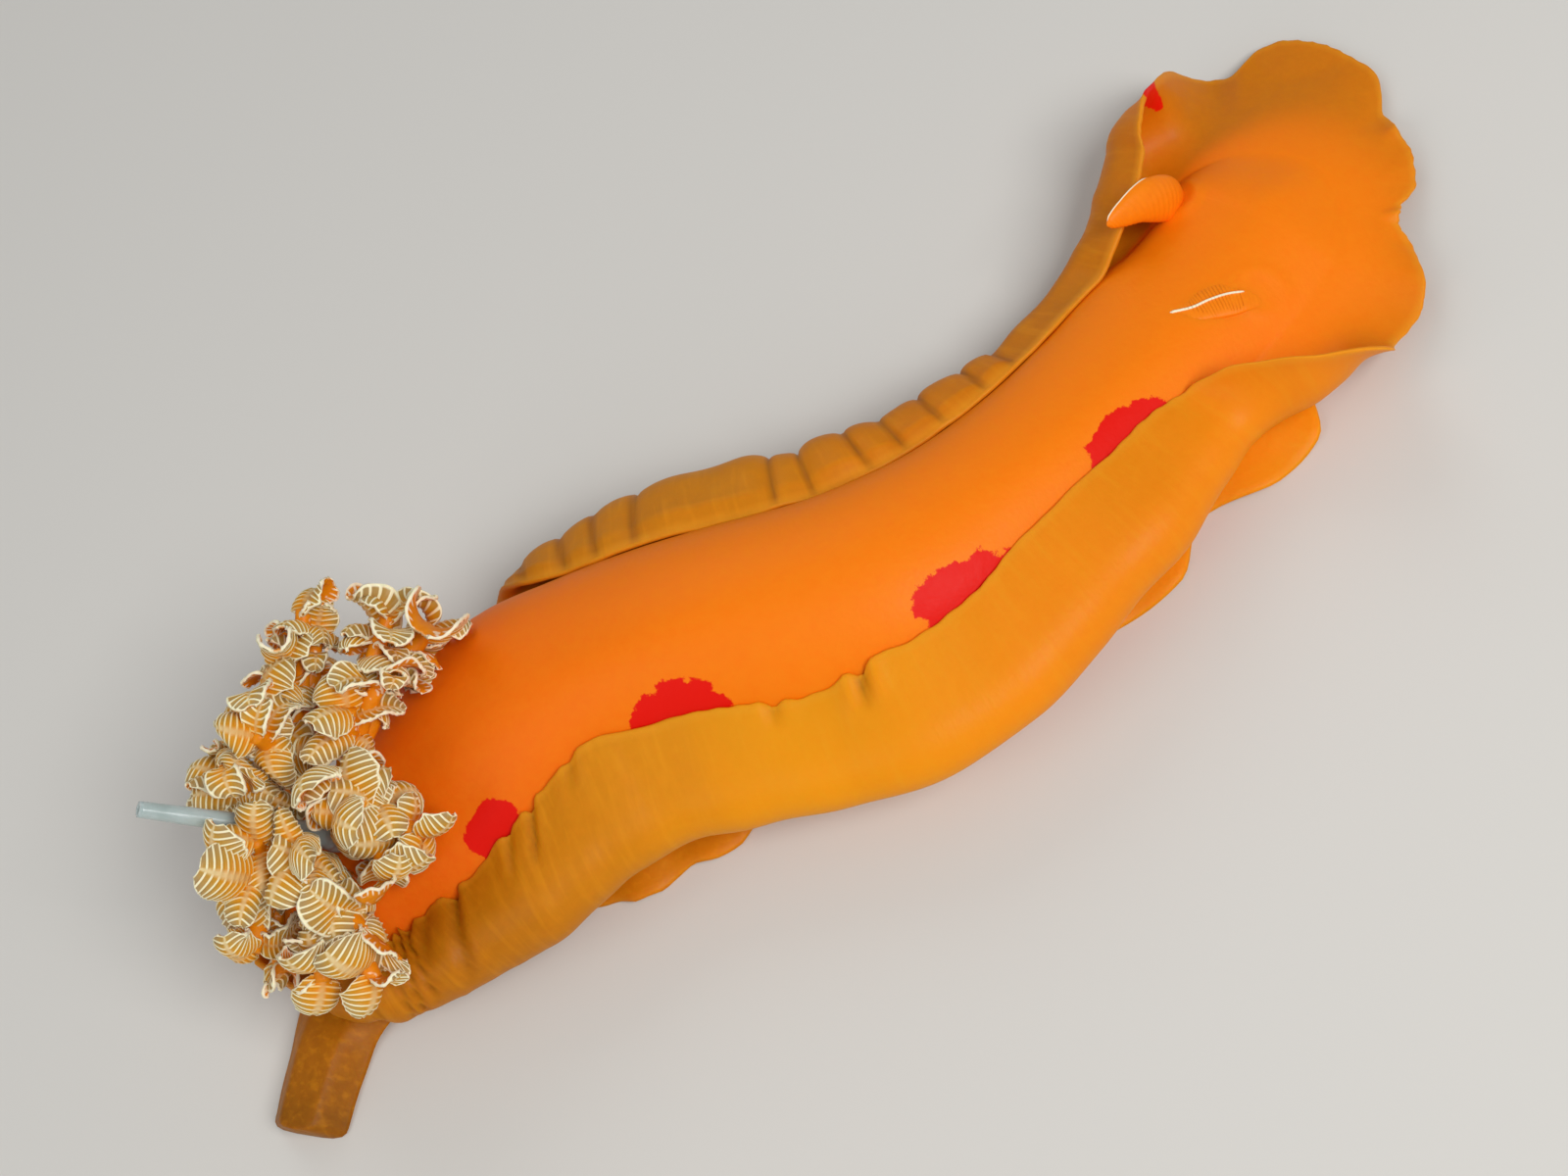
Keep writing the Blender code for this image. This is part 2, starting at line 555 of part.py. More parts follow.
def rhinophore(name, foot_point, tip, skin, where):
    """A club on a short stalk that the water lays back, deeper than it is thick."""
    x, y = foot_point
    ground = float(back_at(np.array([[x, y]]))[0])
    base = (x, y, ground + GAP)
    knee = (x - 0.5, y + 0.1 * (tip[1] - y), ground + 3.0)
    middle = tuple(0.5 * (k + t) for k, t in zip(knee, tip))
    spine = smooth_path([base, knee, (middle[0], middle[1], middle[2] + 0.7), tip], 9)
    radii = [1.6, 1.5, 1.7, 2.3, 2.7, 2.6, 2.2, 1.5, 0.5]
    side = np.cross(np.array(tip) - np.array(base), (0, 0, 1))
    points, faces = limb(spine, radii, 10, 0.55, side)
    return solid(name, stand_on_back(points, 10), faces, skin, where)


def papilla(skin, where):
    """The tube of the vent, up and back from among the gills."""
    base = (*VENT, float(back_at(np.array([VENT]))[0]) + GAP)
    tip = np.array(VENT_TIP, float)
    spine = smooth_path([base, (base[0] - 3, base[1] + 0.6, base[2] + 6), tip], 9)
    radii = [2.3, 2.1, 1.9, 1.7, 1.5, 1.4, 1.3, 1.2, 1.0]
    points, faces = limb(spine, radii, 8)
    return solid("anal_papilla", stand_on_back(points, 8), faces, skin, where)


def oral_tentacle(name, turn, skin, where):
    """A short flat lobe beside the mouth, under the veil."""
    front, heading = along(SPINE, np.array([1.0]))
    angle = math.atan2(heading[0, 1], heading[0, 0]) + math.radians(turn)
    way = np.array([math.cos(angle), math.sin(angle)])
    knots = [(*(front[0] + way * reach), height) for reach, height in [(7.0, 1.7), (11.0, 1.7), (16.0, 1.6)]]
    points, faces = limb(smooth_path(knots, 6), [1.2, 2.4, 3.0, 3.0, 2.3, 0.9], 10, 0.38)
    return solid(name, points, faces, skin, where)


MOUTH_REACH = 4.9             # from the spine's end to the middle of the mouth
MOUTH_LENGTH, MOUTH_WIDTH = 2.3, 2.6      # half sizes of the lips, along the body and across
LIP_DEPTH, SLIT_DEPTH = 1.7, 0.9


def mouth(skin, where):
    """The lips, a round cushion with a slit along the body, under the head."""
    front, heading = along(SPINE, np.array([1.0]))
    side = np.array([-heading[0, 1], heading[0, 0]])
    along_slit, across_slit = np.meshgrid(np.linspace(-1, 1, 7), [-1, -0.6, -0.17, 0, 0.17, 0.6, 1], indexing="ij")
    a = along_slit * np.sqrt(1 - across_slit ** 2 / 2)
    b = across_slit * np.sqrt(1 - along_slit ** 2 / 2)
    flat = (front[0] + heading[0] * MOUTH_REACH + a[..., None] * heading[0] * MOUTH_LENGTH
            + b[..., None] * side * MOUTH_WIDTH)
    depth = 0.5 + (LIP_DEPTH - 0.5) * np.sqrt(np.clip(1 - a ** 2 - b ** 2, 0, 1))
    depth = depth - SLIT_DEPTH * (np.abs(across_slit) < 0.1) * (np.abs(along_slit) < 0.9)
    top = np.concatenate([flat, np.full(flat.shape[:2] + (1,), FOOT_TOP)], -1)
    bottom = np.concatenate([flat, (FOOT_TOP - depth)[..., None]], -1)
    return solid("mouth", *slab(top, bottom), skin, where)


# The gills

CROWN_BASE = 6.5              # distance of each gill's foot from the vent
SOFT = 1.5                    # over this distance from its neighbour a gill bends clear
VENT_BASE = np.array([*VENT, float(back_at(np.array([VENT]))[0])])
TUBE_ROOM = 3.4               # kept round the vent's tube
GILL_COVER = 0.45             # kept above the back and the margins
LEAF_SIZES = [(7.4, 5.2), (8.2, 5.8), (9.0, 6.4)]       # length along the curl, width
LEAF_SHAPE = [(0, 0.34), (0.3, 0.86), (0.55, 1), (0.8, 0.86), (1, 0.45)]
LEAF_THICK, LEAF_EDGE = 0.8, 0.62
LEAF_ROWS, LEAF_COLUMNS = 5, 3
LEAF_PLACES = [(0.9, 8, 30), (2.1, 50, 75), (3.4, 50, 75)]      # distance from a branch's end, spread in degrees
TRIES = 40                    # turns tried for each branch's leaves, to find the one that lies clearest
LEAF_ROOM = 1.7               # wanted between the leaves of one gill


def bearing(degrees):
    """A unit step on the floor at a bearing from the head."""
    return np.array([math.cos(math.radians(degrees)), math.sin(math.radians(degrees))])


def unit(steps):
    """Steps scaled to length one."""
    return steps / np.maximum(np.linalg.norm(steps, axis=-1, keepdims=True), 1e-9)


def bent_clear(points, low, high, room_kept=0.0):
    """Points bent into a gill's own sector round the vent, and clear of the vent's tube."""
    points = points.copy()
    for way, sign in ((bearing(low), 1), (bearing(high), -1)):
        normal = sign * np.array([-way[1], way[0]])
        room = (points[..., :2] - VENT) @ normal
        edge = GAP / 2 + 0.05 + SOFT + room_kept
        bent = np.where(room < edge, edge - SOFT + SOFT * np.exp(np.minimum(room - edge, 0) / SOFT), room)
        points[..., :2] += (bent - room)[..., None] * normal
    ahead = np.array(VENT_TIP) - VENT_BASE
    length = np.linalg.norm(ahead)
    ahead /= length
    run = np.clip((points - VENT_BASE) @ ahead, 0, length)
    beside = VENT_BASE + run[..., None] * ahead
    away = points - beside
    far = np.linalg.norm(away, axis=-1, keepdims=True)
    return np.where(far < TUBE_ROOM + room_kept, beside + away / np.maximum(far, 0.01) * (TUBE_ROOM + room_kept), points)


def lie_of_land(parts):
    """The surfaces under the gills, to measure heights on, in millimetres."""
    points, faces = [], []
    for part in parts:
        start = len(points)
        points.extend(v.co / MM for v in part.data.vertices)
        faces.extend([start + i for i in face.vertices] for face in part.data.polygons)
    return BVHTree.FromPolygons(points, faces)


def lifted(points, ground, room):
    """Points raised to leave room above whatever lies under them."""
    flat = points.reshape(-1, 3).copy()
    for point in flat:
        for dx, dy in ((0, 0), (0.9, 0), (-0.9, 0), (0, 0.9), (0, -0.9)):
            hit = ground.ray_cast(Vector((point[0] + dx, point[1] + dy, 90)), Vector((0, 0, -1)))[0]
            if hit:
                point[2] = max(point[2], hit.z + room)
    return flat.reshape(points.shape)


def leaf_sheet(base, way, outward, size, curl, cup):
    """The middle sheet of a leaf that leaves its base along way and curls over outwards."""
    length, width = size
    fine = np.linspace(0, 1, 41)
    angle = np.radians(curl) * fine ** 1.5
    step = np.cos(angle)[:, None] * way + np.sin(angle)[:, None] * outward
    path = base + length * np.vstack([np.zeros(3), np.cumsum((step[1:] + step[:-1]) / 2, 0) / 40])
    t = np.linspace(0, 1, LEAF_ROWS)
    middle = np.stack([np.interp(t, fine, path[:, k]) for k in range(3)], -1)
    lean = np.interp(t, fine, angle)[:, None]
    front = np.sin(lean) * way - np.cos(lean) * outward
    half = width / 2 * follow(LEAF_SHAPE, t)[:, None]
    v = np.linspace(-1, 1, LEAF_COLUMNS)[None]
    across = np.cross(way, outward)
    return (middle[:, None] + (half * v)[..., None] * across + (cup * v ** 2 * half / width)[..., None] * front[:, None])


def leaf_body(sheet):
    """The closed body of a leaf, thinner towards its edges, about its middle sheet."""
    along_leaf, over_leaf = np.gradient(sheet, axis=0), np.gradient(sheet, axis=1)
    front = unit(np.cross(over_leaf, along_leaf))
    v = np.linspace(-1, 1, LEAF_COLUMNS)[None, :, None]
    half = (LEAF_THICK + (LEAF_EDGE - LEAF_THICK) * v ** 2) / 2
    return slab(sheet + front * half, sheet - front * half)


def crowding(sheet, others):
    """How far a leaf comes within the wanted room of the others of its gill."""
    if not others:
        return 0.0
    there = np.concatenate([other[1:].reshape(-1, 3) for other in others])
    apart = np.linalg.norm(sheet[1:].reshape(-1, 1, 3) - there[None], axis=-1)
    return np.clip(LEAF_ROOM - apart, 0, None).sum()


def tuft(rng, end, way, low, high, ground, others):
    """The leaves of a branch: one at its end and the others on its sides, all curled outwards."""
    side = unit(np.cross(way, (0.02, 0, 1)))
    up = np.cross(side, way)
    best, least = None, np.inf
    for _ in range(TRIES):
        start, sheets, cost = rng.uniform(0, 2 * np.pi), [], 0.0
        for k, (back_from_end, narrow, wide) in enumerate(LEAF_PLACES):
            turn = start + 2 * np.pi * k / len(LEAF_PLACES) + rng.uniform(-0.3, 0.3)
            outward = math.cos(turn) * side + math.sin(turn) * up
            spread = math.radians(rng.uniform(narrow, wide))
            ahead = math.cos(spread) * way + math.sin(spread) * outward
            aside = math.cos(spread) * outward - math.sin(spread) * way
            size = LEAF_SIZES[rng.integers(len(LEAF_SIZES))]
            sheet = leaf_sheet(end - back_from_end * way, ahead, aside, size, rng.uniform(60, 150),
                               rng.uniform(-1.6, 1.2))
            clear = lifted(bent_clear(sheet, low, high, LEAF_THICK / 2), ground, GILL_COVER + LEAF_THICK / 2)
            cost += np.abs(clear - sheet).sum() + 3 * crowding(clear, others + sheets)
            sheets.append(clear)
        if cost < least:
            best, least = sheets, cost
    return best


def gill(name, low, high, tufts, skin, where, ground):
    """One gill: a stalk from beside the vent, branches, and curled leaves at the end of each."""
    rng = np.random.default_rng(SEEDS[name])
    way = bearing((low + high) / 2)
    foot_point = np.array(VENT) + way * CROWN_BASE
    base = np.array([*foot_point, float(back_at(foot_point[None])[0]) + GAP])
    fork = base + np.array([*(way * 2.5), 5.0])
    top = 0.6 * fork + 0.4 * np.mean(tufts, axis=0)
    stalk, faces = limb(smooth_path([base, fork, top], 5), [1.7, 1.5, 1.5, 1.4, 0.7], 6)
    shapes, sheets = [(stand_on_back(bent_clear(stalk, low, high), 6), faces)], []
    for centre in tufts:
        path = smooth_path([fork - (0, 0, 1.0), 0.5 * (fork + centre) + (0, 0, 0.8), centre], 4)
        path[1:] = lifted(bent_clear(path[1:], low, high, 1.2), ground, GILL_COVER + 1.3)
        branch, faces = limb(path, [1.0, 1.2, 1.15, 0.95], 5)
        shapes.append((bent_clear(branch, low, high), faces))
        sheets.extend(tuft(rng, path[-1], unit(path[-1] - path[-3]), low, high, ground, sheets))
    shapes.extend(leaf_body(sheet) for sheet in sheets)
    return fuse(name, shapes, skin, where)


def build():
    """The whole animal."""
    for thing in list(bpy.data.objects):
        bpy.data.objects.remove(thing)
    animal = bpy.data.collections.new("spanish_dancer")
    bpy.context.scene.collection.children.link(animal)
    back_skin = material("back_skin", ORANGE)
    margin_skin = material("margin_skin", OCHRE)
    foot_skin = material("foot_skin", FOOT_COLOUR)
    gill_skin = material("gill_skin", GILL_COLOUR)
    papilla_skin = material("papilla_skin", PAPILLA_COLOUR)
    for name, (start, end) in BODY_LENGTHS.items():
        body_length(name, start, end, back_skin, animal)
    for name, (start, end, rows) in MARGIN_LENGTHS.items():
        margin_length(name, start, end, rows, margin_skin, animal)
    for name, (start, end) in FOOT_LENGTHS.items():
        foot_length(name, start, end, foot_skin, animal)
    for name, (foot_point, tip) in RHINOPHORES.items():
        rhinophore(name, foot_point, tip, back_skin, animal)
    oral_tentacle("oral_tentacle_left", 38, foot_skin, animal)
    oral_tentacle("oral_tentacle_right", -38, foot_skin, animal)
    mouth(foot_skin, animal)
    papilla(papilla_skin, animal)
    ground = lie_of_land([part for part in animal.objects if part.name.startswith(("body", "margin"))])
    for name, (low, high, tufts) in GILLS.items():
        gill(name, low, high, tufts, gill_skin, animal, ground)


build()
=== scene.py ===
# %% [markdown]
# A spanish dancer is a sea slug as long as a hand, soft and wet all over, with a broad skirt of skin round
# its body. When it crawls it rolls that skirt up along both flanks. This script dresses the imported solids
# of such an animal: one skin over body, skirt and foot, then the parts that stand on it. The solids stay
# hidden beneath as the shape that touches things, and the pieces made here are what the eye sees.

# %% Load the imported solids
import json
import math

import bmesh
import bpy
import numpy as np
from mathutils import Matrix, Vector
from mathutils.bvhtree import BVHTree
from mathutils.kdtree import KDTree

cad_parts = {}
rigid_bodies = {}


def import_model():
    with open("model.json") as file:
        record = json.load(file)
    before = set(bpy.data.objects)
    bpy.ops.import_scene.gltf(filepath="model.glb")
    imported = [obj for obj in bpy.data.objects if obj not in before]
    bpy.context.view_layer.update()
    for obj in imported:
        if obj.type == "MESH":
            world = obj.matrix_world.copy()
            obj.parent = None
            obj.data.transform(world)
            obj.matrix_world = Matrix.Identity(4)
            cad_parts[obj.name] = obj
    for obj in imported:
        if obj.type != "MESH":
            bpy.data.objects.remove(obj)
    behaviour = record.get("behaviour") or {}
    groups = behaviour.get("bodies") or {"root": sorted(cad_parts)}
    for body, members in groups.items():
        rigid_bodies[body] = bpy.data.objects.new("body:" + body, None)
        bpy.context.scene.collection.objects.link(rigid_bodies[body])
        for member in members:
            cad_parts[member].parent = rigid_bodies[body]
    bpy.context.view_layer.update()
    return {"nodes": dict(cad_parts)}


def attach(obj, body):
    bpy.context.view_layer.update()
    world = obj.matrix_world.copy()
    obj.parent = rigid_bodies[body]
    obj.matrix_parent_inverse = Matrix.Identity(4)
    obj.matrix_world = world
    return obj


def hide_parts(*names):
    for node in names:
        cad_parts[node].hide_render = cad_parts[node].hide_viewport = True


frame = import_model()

MM = 0.001

# %% [markdown]
# The camera comes first, because every later choice is judged through it. The animal was seen from its
# right and above, with the picture turned so that its body climbs from lower left to upper right. A camera
# that looks along one direction and is then rolled about it gives that, with a 50 mm lens 278 mm away, as
# close as a hand lens.

# %% Set the camera
CAMERA_RISE, CAMERA_ROLL = math.radians(58), math.radians(37)
CAMERA_TARGET, CAMERA_AWAY = Vector((0, 0, 12)) * MM, 278 * MM
LENS, SENSOR = 50, 36               # focal length and width of the sensor in mm
right = Vector((1, 0, 0))
upward = Vector((0, math.sin(CAMERA_RISE), math.cos(CAMERA_RISE)))
towards = Vector((0, -math.cos(CAMERA_RISE), math.sin(CAMERA_RISE)))
picture_right = math.cos(CAMERA_ROLL) * right - math.sin(CAMERA_ROLL) * upward
picture_up = math.sin(CAMERA_ROLL) * right + math.cos(CAMERA_ROLL) * upward

lens = bpy.data.cameras.new("close_up_lens")
lens.lens, lens.sensor_width = LENS, SENSOR
lens.clip_start, lens.clip_end = 0.01, 10
camera = bpy.data.objects.new("camera", lens)
bpy.context.scene.collection.objects.link(camera)
camera.matrix_world = Matrix.Translation(CAMERA_TARGET + CAMERA_AWAY * towards) @ Matrix(
    (picture_right, picture_up, towards)).transposed().to_4x4()
bpy.context.scene.camera = camera
print("camera stands at", [round(v / MM) for v in camera.location], "mm")

# %% [markdown]
# Colours are written as the hex values a painter would pick on screen, and one function turns them into
# the linear light that the shaders count in. A second one adds a node with its settings and its links. The
# last two open and close a material, so that each material below reads as a short list.

# %% Helpers for materials
def linear(hex_colour):
    """The linear light of an sRGB hex colour."""
    channels = [int(hex_colour[i:i + 2], 16) / 255 for i in (0, 2, 4)]
    return (*[c / 12.92 if c <= 0.04045 else ((c + 0.055) / 1.055) ** 2.4 for c in channels], 1.0)


def add_node(tree, kind, inputs=None, **settings):
    """A new shader node with its settings, and each input set to a value or colour, or linked to a socket."""
    made = tree.nodes.new("ShaderNode" + kind)
    for name, value in settings.items():
        setattr(made, name, value)
    for name, value in (inputs or {}).items():
        if isinstance(value, bpy.types.NodeSocket):
            tree.links.new(value, made.inputs[name])
        else:
            made.inputs[name].default_value = linear(value) if isinstance(value, str) else value
    return made


def start_material(name):
    """A new material and its tree of nodes, emptied."""
    made = bpy.data.materials.new(name)
    made.use_nodes = True
    made.node_tree.nodes.clear()
    return made, made.node_tree


def end_material(tree, inputs):
    """The surface shader with its inputs, led to the material's output."""
    shader = add_node(tree, "BsdfPrincipled", inputs)
    add_node(tree, "OutputMaterial", {"Surface": shader.outputs["BSDF"]})


print("orange", [round(c, 3) for c in linear("f77101")[:3]])

# %% [markdown]
# The studio is plain: a pale floor and soft light from large panels. A wet skin shows what is around it, so
# the panels are also what makes it glisten. The brightest one stands on the animal's right and ahead of it,
# so that the left flank falls into a soft shade.

# %% Floor and light
FLOOR_SIDE = 3.0
floor_mesh = bpy.data.meshes.new("studio_floor")
corners = [(x * FLOOR_SIDE, y * FLOOR_SIDE, 0) for x, y in ((-1, -1), (1, -1), (1, 1), (-1, 1))]
floor_mesh.from_pydata(corners, [], [(0, 1, 2, 3)])
floor = bpy.data.objects.new("studio_floor", floor_mesh)
bpy.context.scene.collection.objects.link(floor)

# Matt studio card: pale and without gloss, so that nothing on it draws the eye
studio_card, tree = start_material("matt_studio_card")
grain = add_node(tree, "TexNoise", {"Scale": 900.0, "Detail": 3.0}).outputs["Fac"]
bump = add_node(tree, "Bump", {"Strength": 0.05, "Distance": 0.0001, "Height": grain}).outputs["Normal"]
end_material(tree, {
    "Base Color": "d9d6d0", "Roughness": 0.9, "Specular IOR Level": 0.2, "Normal": bump})
floor_mesh.materials.append(studio_card)

# Each panel's name, its place and the length of its side in metres, and its power in watts
PANELS = [("key_panel", (0.25, -0.45, 0.55), 0.35, 3.6), ("fill_panel", (-0.55, -0.15, 0.45), 0.5, 1.2),
          ("back_panel", (0.1, 0.6, 0.5), 0.45, 0.8)]
for name, place_at, side, watts in PANELS:
    lamp = bpy.data.lights.new(name, "AREA")
    lamp.size, lamp.energy = side, watts
    holder = bpy.data.objects.new(name, lamp)
    holder.location = place_at
    holder.rotation_euler = (-Vector(place_at)).to_track_quat("-Z", "Y").to_euler()
    bpy.context.scene.collection.objects.link(holder)
world = bpy.data.worlds.new("studio_air")
world.use_nodes = True
air = world.node_tree.nodes["Background"].inputs
air["Color"].default_value, air["Strength"].default_value = linear("eef1f4"), 0.3
bpy.context.scene.world = world
bpy.context.scene.view_settings.view_transform = "Standard"
print("panels:", len(PANELS))

# %% [markdown]
# The body's form is held in short tables, in millimetres. A place on its edge is one number that runs once
# round: 0 to 1 up the right side from the rear, 1 to 2 round the head, 2 to 3 back down the left, 3 to 4
# round the rear. Tables read along that number are easier to tune than a sculpted mesh. They give nearly
# the form of the solids, and where the skirt was fitted closer to the living one the skin stands a few
# millimetres off them.

# %% Tables of the body
# Knots of the spine on the floor plan, from the rear to the front
SPINE = [(-66, 5), (-50, 7), (-31, 4), (-12, -2.5), (7, -9), (25, -10.5), (43, -8), (60, -2.5), (70, 1),
         (77, 3.5)]
# Height of the back along the spine
HEIGHT = [(0, 17), (0.11, 20.5), (0.24, 24.5), (0.38, 26.5), (0.52, 25), (0.64, 21.5), (0.77, 17),
          (0.89, 13.5), (1, 11)]
# Height of the groove where back and skirt meet, and its distance from the spine
GROOVE = [(0, 8.5), (0.11, 10), (0.24, 11), (0.52, 11), (0.77, 9), (0.89, 8), (1, 7), (1.5, 6.5), (2, 7),
          (2.11, 8), (2.23, 9), (2.48, 11), (2.76, 11), (2.89, 10), (3, 8.5), (3.5, 7.5)]
ROOT = [(0, 13.3), (0.03, 14.6), (0.06, 16), (0.1, 16.6), (0.15, 16.6), (0.2, 15.5), (0.25, 14.2),
        (0.31, 13.6), (0.38, 14.4), (0.45, 15.8), (0.52, 16.5), (0.58, 15.6), (0.64, 12.9), (0.68, 11.6),
        (0.73, 10.8), (0.78, 10.2), (0.89, 11.5), (1, 12.5), (1.25, 11.5), (1.5, 13), (1.98, 13),
        (2.035, 12), (2.07, 12.2), (2.12, 13.8), (2.23, 14), (2.36, 14), (2.48, 15), (2.58, 16.2),
        (2.66, 17.3), (2.74, 17.9), (2.8, 18.8), (2.84, 18.8), (2.9, 17), (3, 13.5), (3.5, 10)]
# How full the back is: 0.5 an ellipse, over 1 a slope that flattens outwards
FULLNESS = [(0, 0.7), (0.7, 0.7), (0.89, 0.9), (1, 1.4), (1.15, 1.7), (1.6, 1.7), (1.8, 1.0), (1.93, 0.55),
            (2.1, 0.45), (2.3, 0.42), (2.8, 0.42), (3, 0.55), (3.5, 0.8)]
# The skirt's width from groove to rim, the share of its full roll, where along its width the roll ends, the
# slope at which it leaves the groove in degrees, and its thickness there
WIDTH = [(0, 20.6), (0.03, 22.2), (0.06, 23.2), (0.1, 24.6), (0.15, 26), (0.2, 26.6), (0.25, 26),
         (0.3, 24.2), (0.35, 23.6), (0.41, 23.2), (0.46, 23.6), (0.52, 26), (0.58, 25.7), (0.64, 25),
         (0.68, 24.6), (0.73, 23), (0.79, 19.4), (0.82, 17.3), (0.85, 17.2), (0.88, 19), (0.905, 20.4),
         (0.925, 18.6), (0.94, 15), (0.96, 11.6), (1, 11.2), (1.04, 10.8), (1.09, 8.9), (1.15, 7.3),
         (1.2, 6.2), (1.24, 6.9), (1.28, 9.4), (1.34, 11.1), (1.4, 12), (1.46, 12.8), (1.49, 16),
         (1.52, 18.9), (1.58, 21), (1.64, 22.7), (1.685, 21), (1.72, 17), (1.76, 17.8), (1.79, 17),
         (1.82, 16), (1.85, 17.2), (1.89, 20.5), (1.93, 23.2), (1.96, 23.4), (2, 22), (2.04, 19.4),
         (2.06, 17.6), (2.09, 14.8), (2.12, 12.2), (2.16, 11.6), (2.2, 12), (2.3, 15), (2.4, 18.2),
         (2.5, 20.4), (2.58, 22.4), (2.64, 23), (2.7, 20.6), (2.74, 17.3), (2.765, 12.5), (2.782, 7),
         (2.8, 4.4), (2.82, 4.2), (2.85, 6), (2.9, 8), (3, 10), (3.15, 12), (3.5, 11), (3.85, 17)]
ROLL = [(0, 1), (0.5, 1), (0.82, 1), (0.84, 0.85), (0.88, 0.55), (0.92, 0.36), (0.94, 0.24), (0.965, 0.05),
        (1, 0), (1.5, 0), (1.74, 0), (1.79, 0.12), (1.82, 0.3), (1.85, 0.45), (1.89, 0.58), (1.93, 0.66),
        (1.97, 0.7), (2, 0.74), (2.04, 0.8), (2.06, 0.82), (2.09, 0.9), (2.12, 1), (2.72, 1), (2.765, 0.95),
        (2.785, 0.75), (2.8, 0.35), (2.815, 0.08), (2.88, 0.02), (2.96, 0.05), (3.06, 0.3), (3.2, 0.6),
        (3.5, 0.5), (3.8, 0.75)]
BEND = [(0, 0.88), (0.1, 0.86), (0.15, 0.81), (0.2, 0.75), (0.28, 0.65), (0.36, 0.67), (0.46, 0.72),
        (0.52, 0.68), (0.68, 0.69), (0.74, 0.73), (0.8, 0.72), (0.84, 0.8), (0.87, 0.88), (0.9, 0.8),
        (0.93, 0.68), (0.97, 0.85), (1.5, 0.9), (2.04, 0.9), (2.06, 0.8), (2.09, 0.74), (2.12, 0.66),
        (2.2, 0.7), (2.3, 0.75), (2.4, 0.84), (2.58, 0.77), (2.7, 0.74), (2.84, 0.78), (3, 0.84),
        (3.5, 0.9)]
SETOUT = [(0, -15), (0.8, -15), (1, -12), (1.3, -14), (1.7, -14), (2, -12), (2.2, -15), (2.74, -15),
          (2.775, -22), (2.81, -50), (2.88, -60), (2.96, -48), (3.05, -28), (3.2, -12), (3.5, -5)]
THICK = [(0, 4.2), (0.8, 4), (1, 3), (1.5, 2.8), (2, 3), (2.2, 3.6), (3, 4), (3.5, 3.5)]


def follow(table, at):
    """A smooth curve through (place, value) pairs that never swings past them."""
    places, values = np.array(table, float).T
    gap = np.diff(places)
    rise = np.diff(values) / gap
    slope = np.zeros(len(places))
    turning = rise[:-1] * rise[1:] > 0
    slope[1:-1][turning] = 2 * rise[:-1][turning] * rise[1:][turning] / (rise[:-1] + rise[1:])[turning]
    slope[0], slope[-1] = rise[0], rise[-1]
    i = np.clip(np.searchsorted(places, at) - 1, 0, len(gap) - 1)
    t = (at - places[i]) / gap[i]
    return (values[i] * (1 + 2 * t) * (1 - t) ** 2 + gap[i] * slope[i] * t * (1 - t) ** 2
            + values[i + 1] * t * t * (3 - 2 * t) + gap[i] * slope[i + 1] * t * t * (t - 1))


def ring(table, around):
    """As follow, for a table that runs once round the edge and closes."""
    before = [(place - 4, value) for place, value in table[-2:]]
    after = [(place + 4, value) for place, value in table[:2]]
    return follow(before + table + after, np.mod(around, 4))


def ramp(at, start, length):
    """Rises from 0 at the start to 1 a length further on, or further back where the length is negative."""
    return np.clip((at - start) / length, 0, 1)


def stretch(at, low, high, soft):
    """1 between two places and 0 beyond them, with a soft end inside each."""
    return np.minimum(ramp(at, low, soft), ramp(at, high, -soft))


def bell(off, half):
    """A bell curve, 1 in the middle and about a third at the distance half from it."""
    return np.exp(-(off / half) ** 2)


print("back at mid body:", round(float(follow(HEIGHT, 0.5)), 1), "mm high")

# %% [markdown]
# The spine is a curve on the floor plan, and every section of the body is set square to it, with a fan of
# sections round each end. The curve is laid once through its knots and smoothed like a bent batten.

# %% Lay the spine and its spokes
KNOT_STEPS, BATTEN_PASSES = 60, 200     # points between two knots, and rounds of smoothing
SPINE_STEPS = 400                       # points of the spine that a nearest one is looked for among


def between_knots(a, b, c, d, t):
    """Points at shares t from b to c on the smooth curve through four knots."""
    straight, bend, turn = c - a, 2 * a - 5 * b + 4 * c - d, 3 * b - a - 3 * c + d
    return 0.5 * (2 * b + straight * t + bend * t ** 2 + turn * t ** 3)


def batten(points):
    """A fine smooth path through knots on the floor, with its length so far and its headings."""
    p = np.array(points, float)
    ends = np.vstack([2 * p[0] - p[1], p, 2 * p[-1] - p[-2]])
    t = np.linspace(0, 1, KNOT_STEPS, endpoint=False)[:, None]
    fine = np.vstack([between_knots(*ends[i:i + 4], t) for i in range(len(p) - 1)] + [p[-1:]])
    for _ in range(BATTEN_PASSES):
        fine[1:-1] += 0.25 * (fine[:-2] + fine[2:] - 2 * fine[1:-1])
    length = np.concatenate([[0], np.cumsum(np.linalg.norm(np.diff(fine, axis=0), axis=1))])
    return fine, length, np.gradient(fine, length, axis=0)


def along(path, share):
    """Places and headings at shares of a path."""
    fine, length, steps = path
    at = np.asarray(share) * length[-1]
    place_at = np.stack([np.interp(at, length, fine[:, k]) for k in (0, 1)], -1)
    heading = np.stack([np.interp(at, length, steps[:, k]) for k in (0, 1)], -1)
    return place_at, heading / np.linalg.norm(heading, axis=-1, keepdims=True)


SPINE_PATH = batten(SPINE)


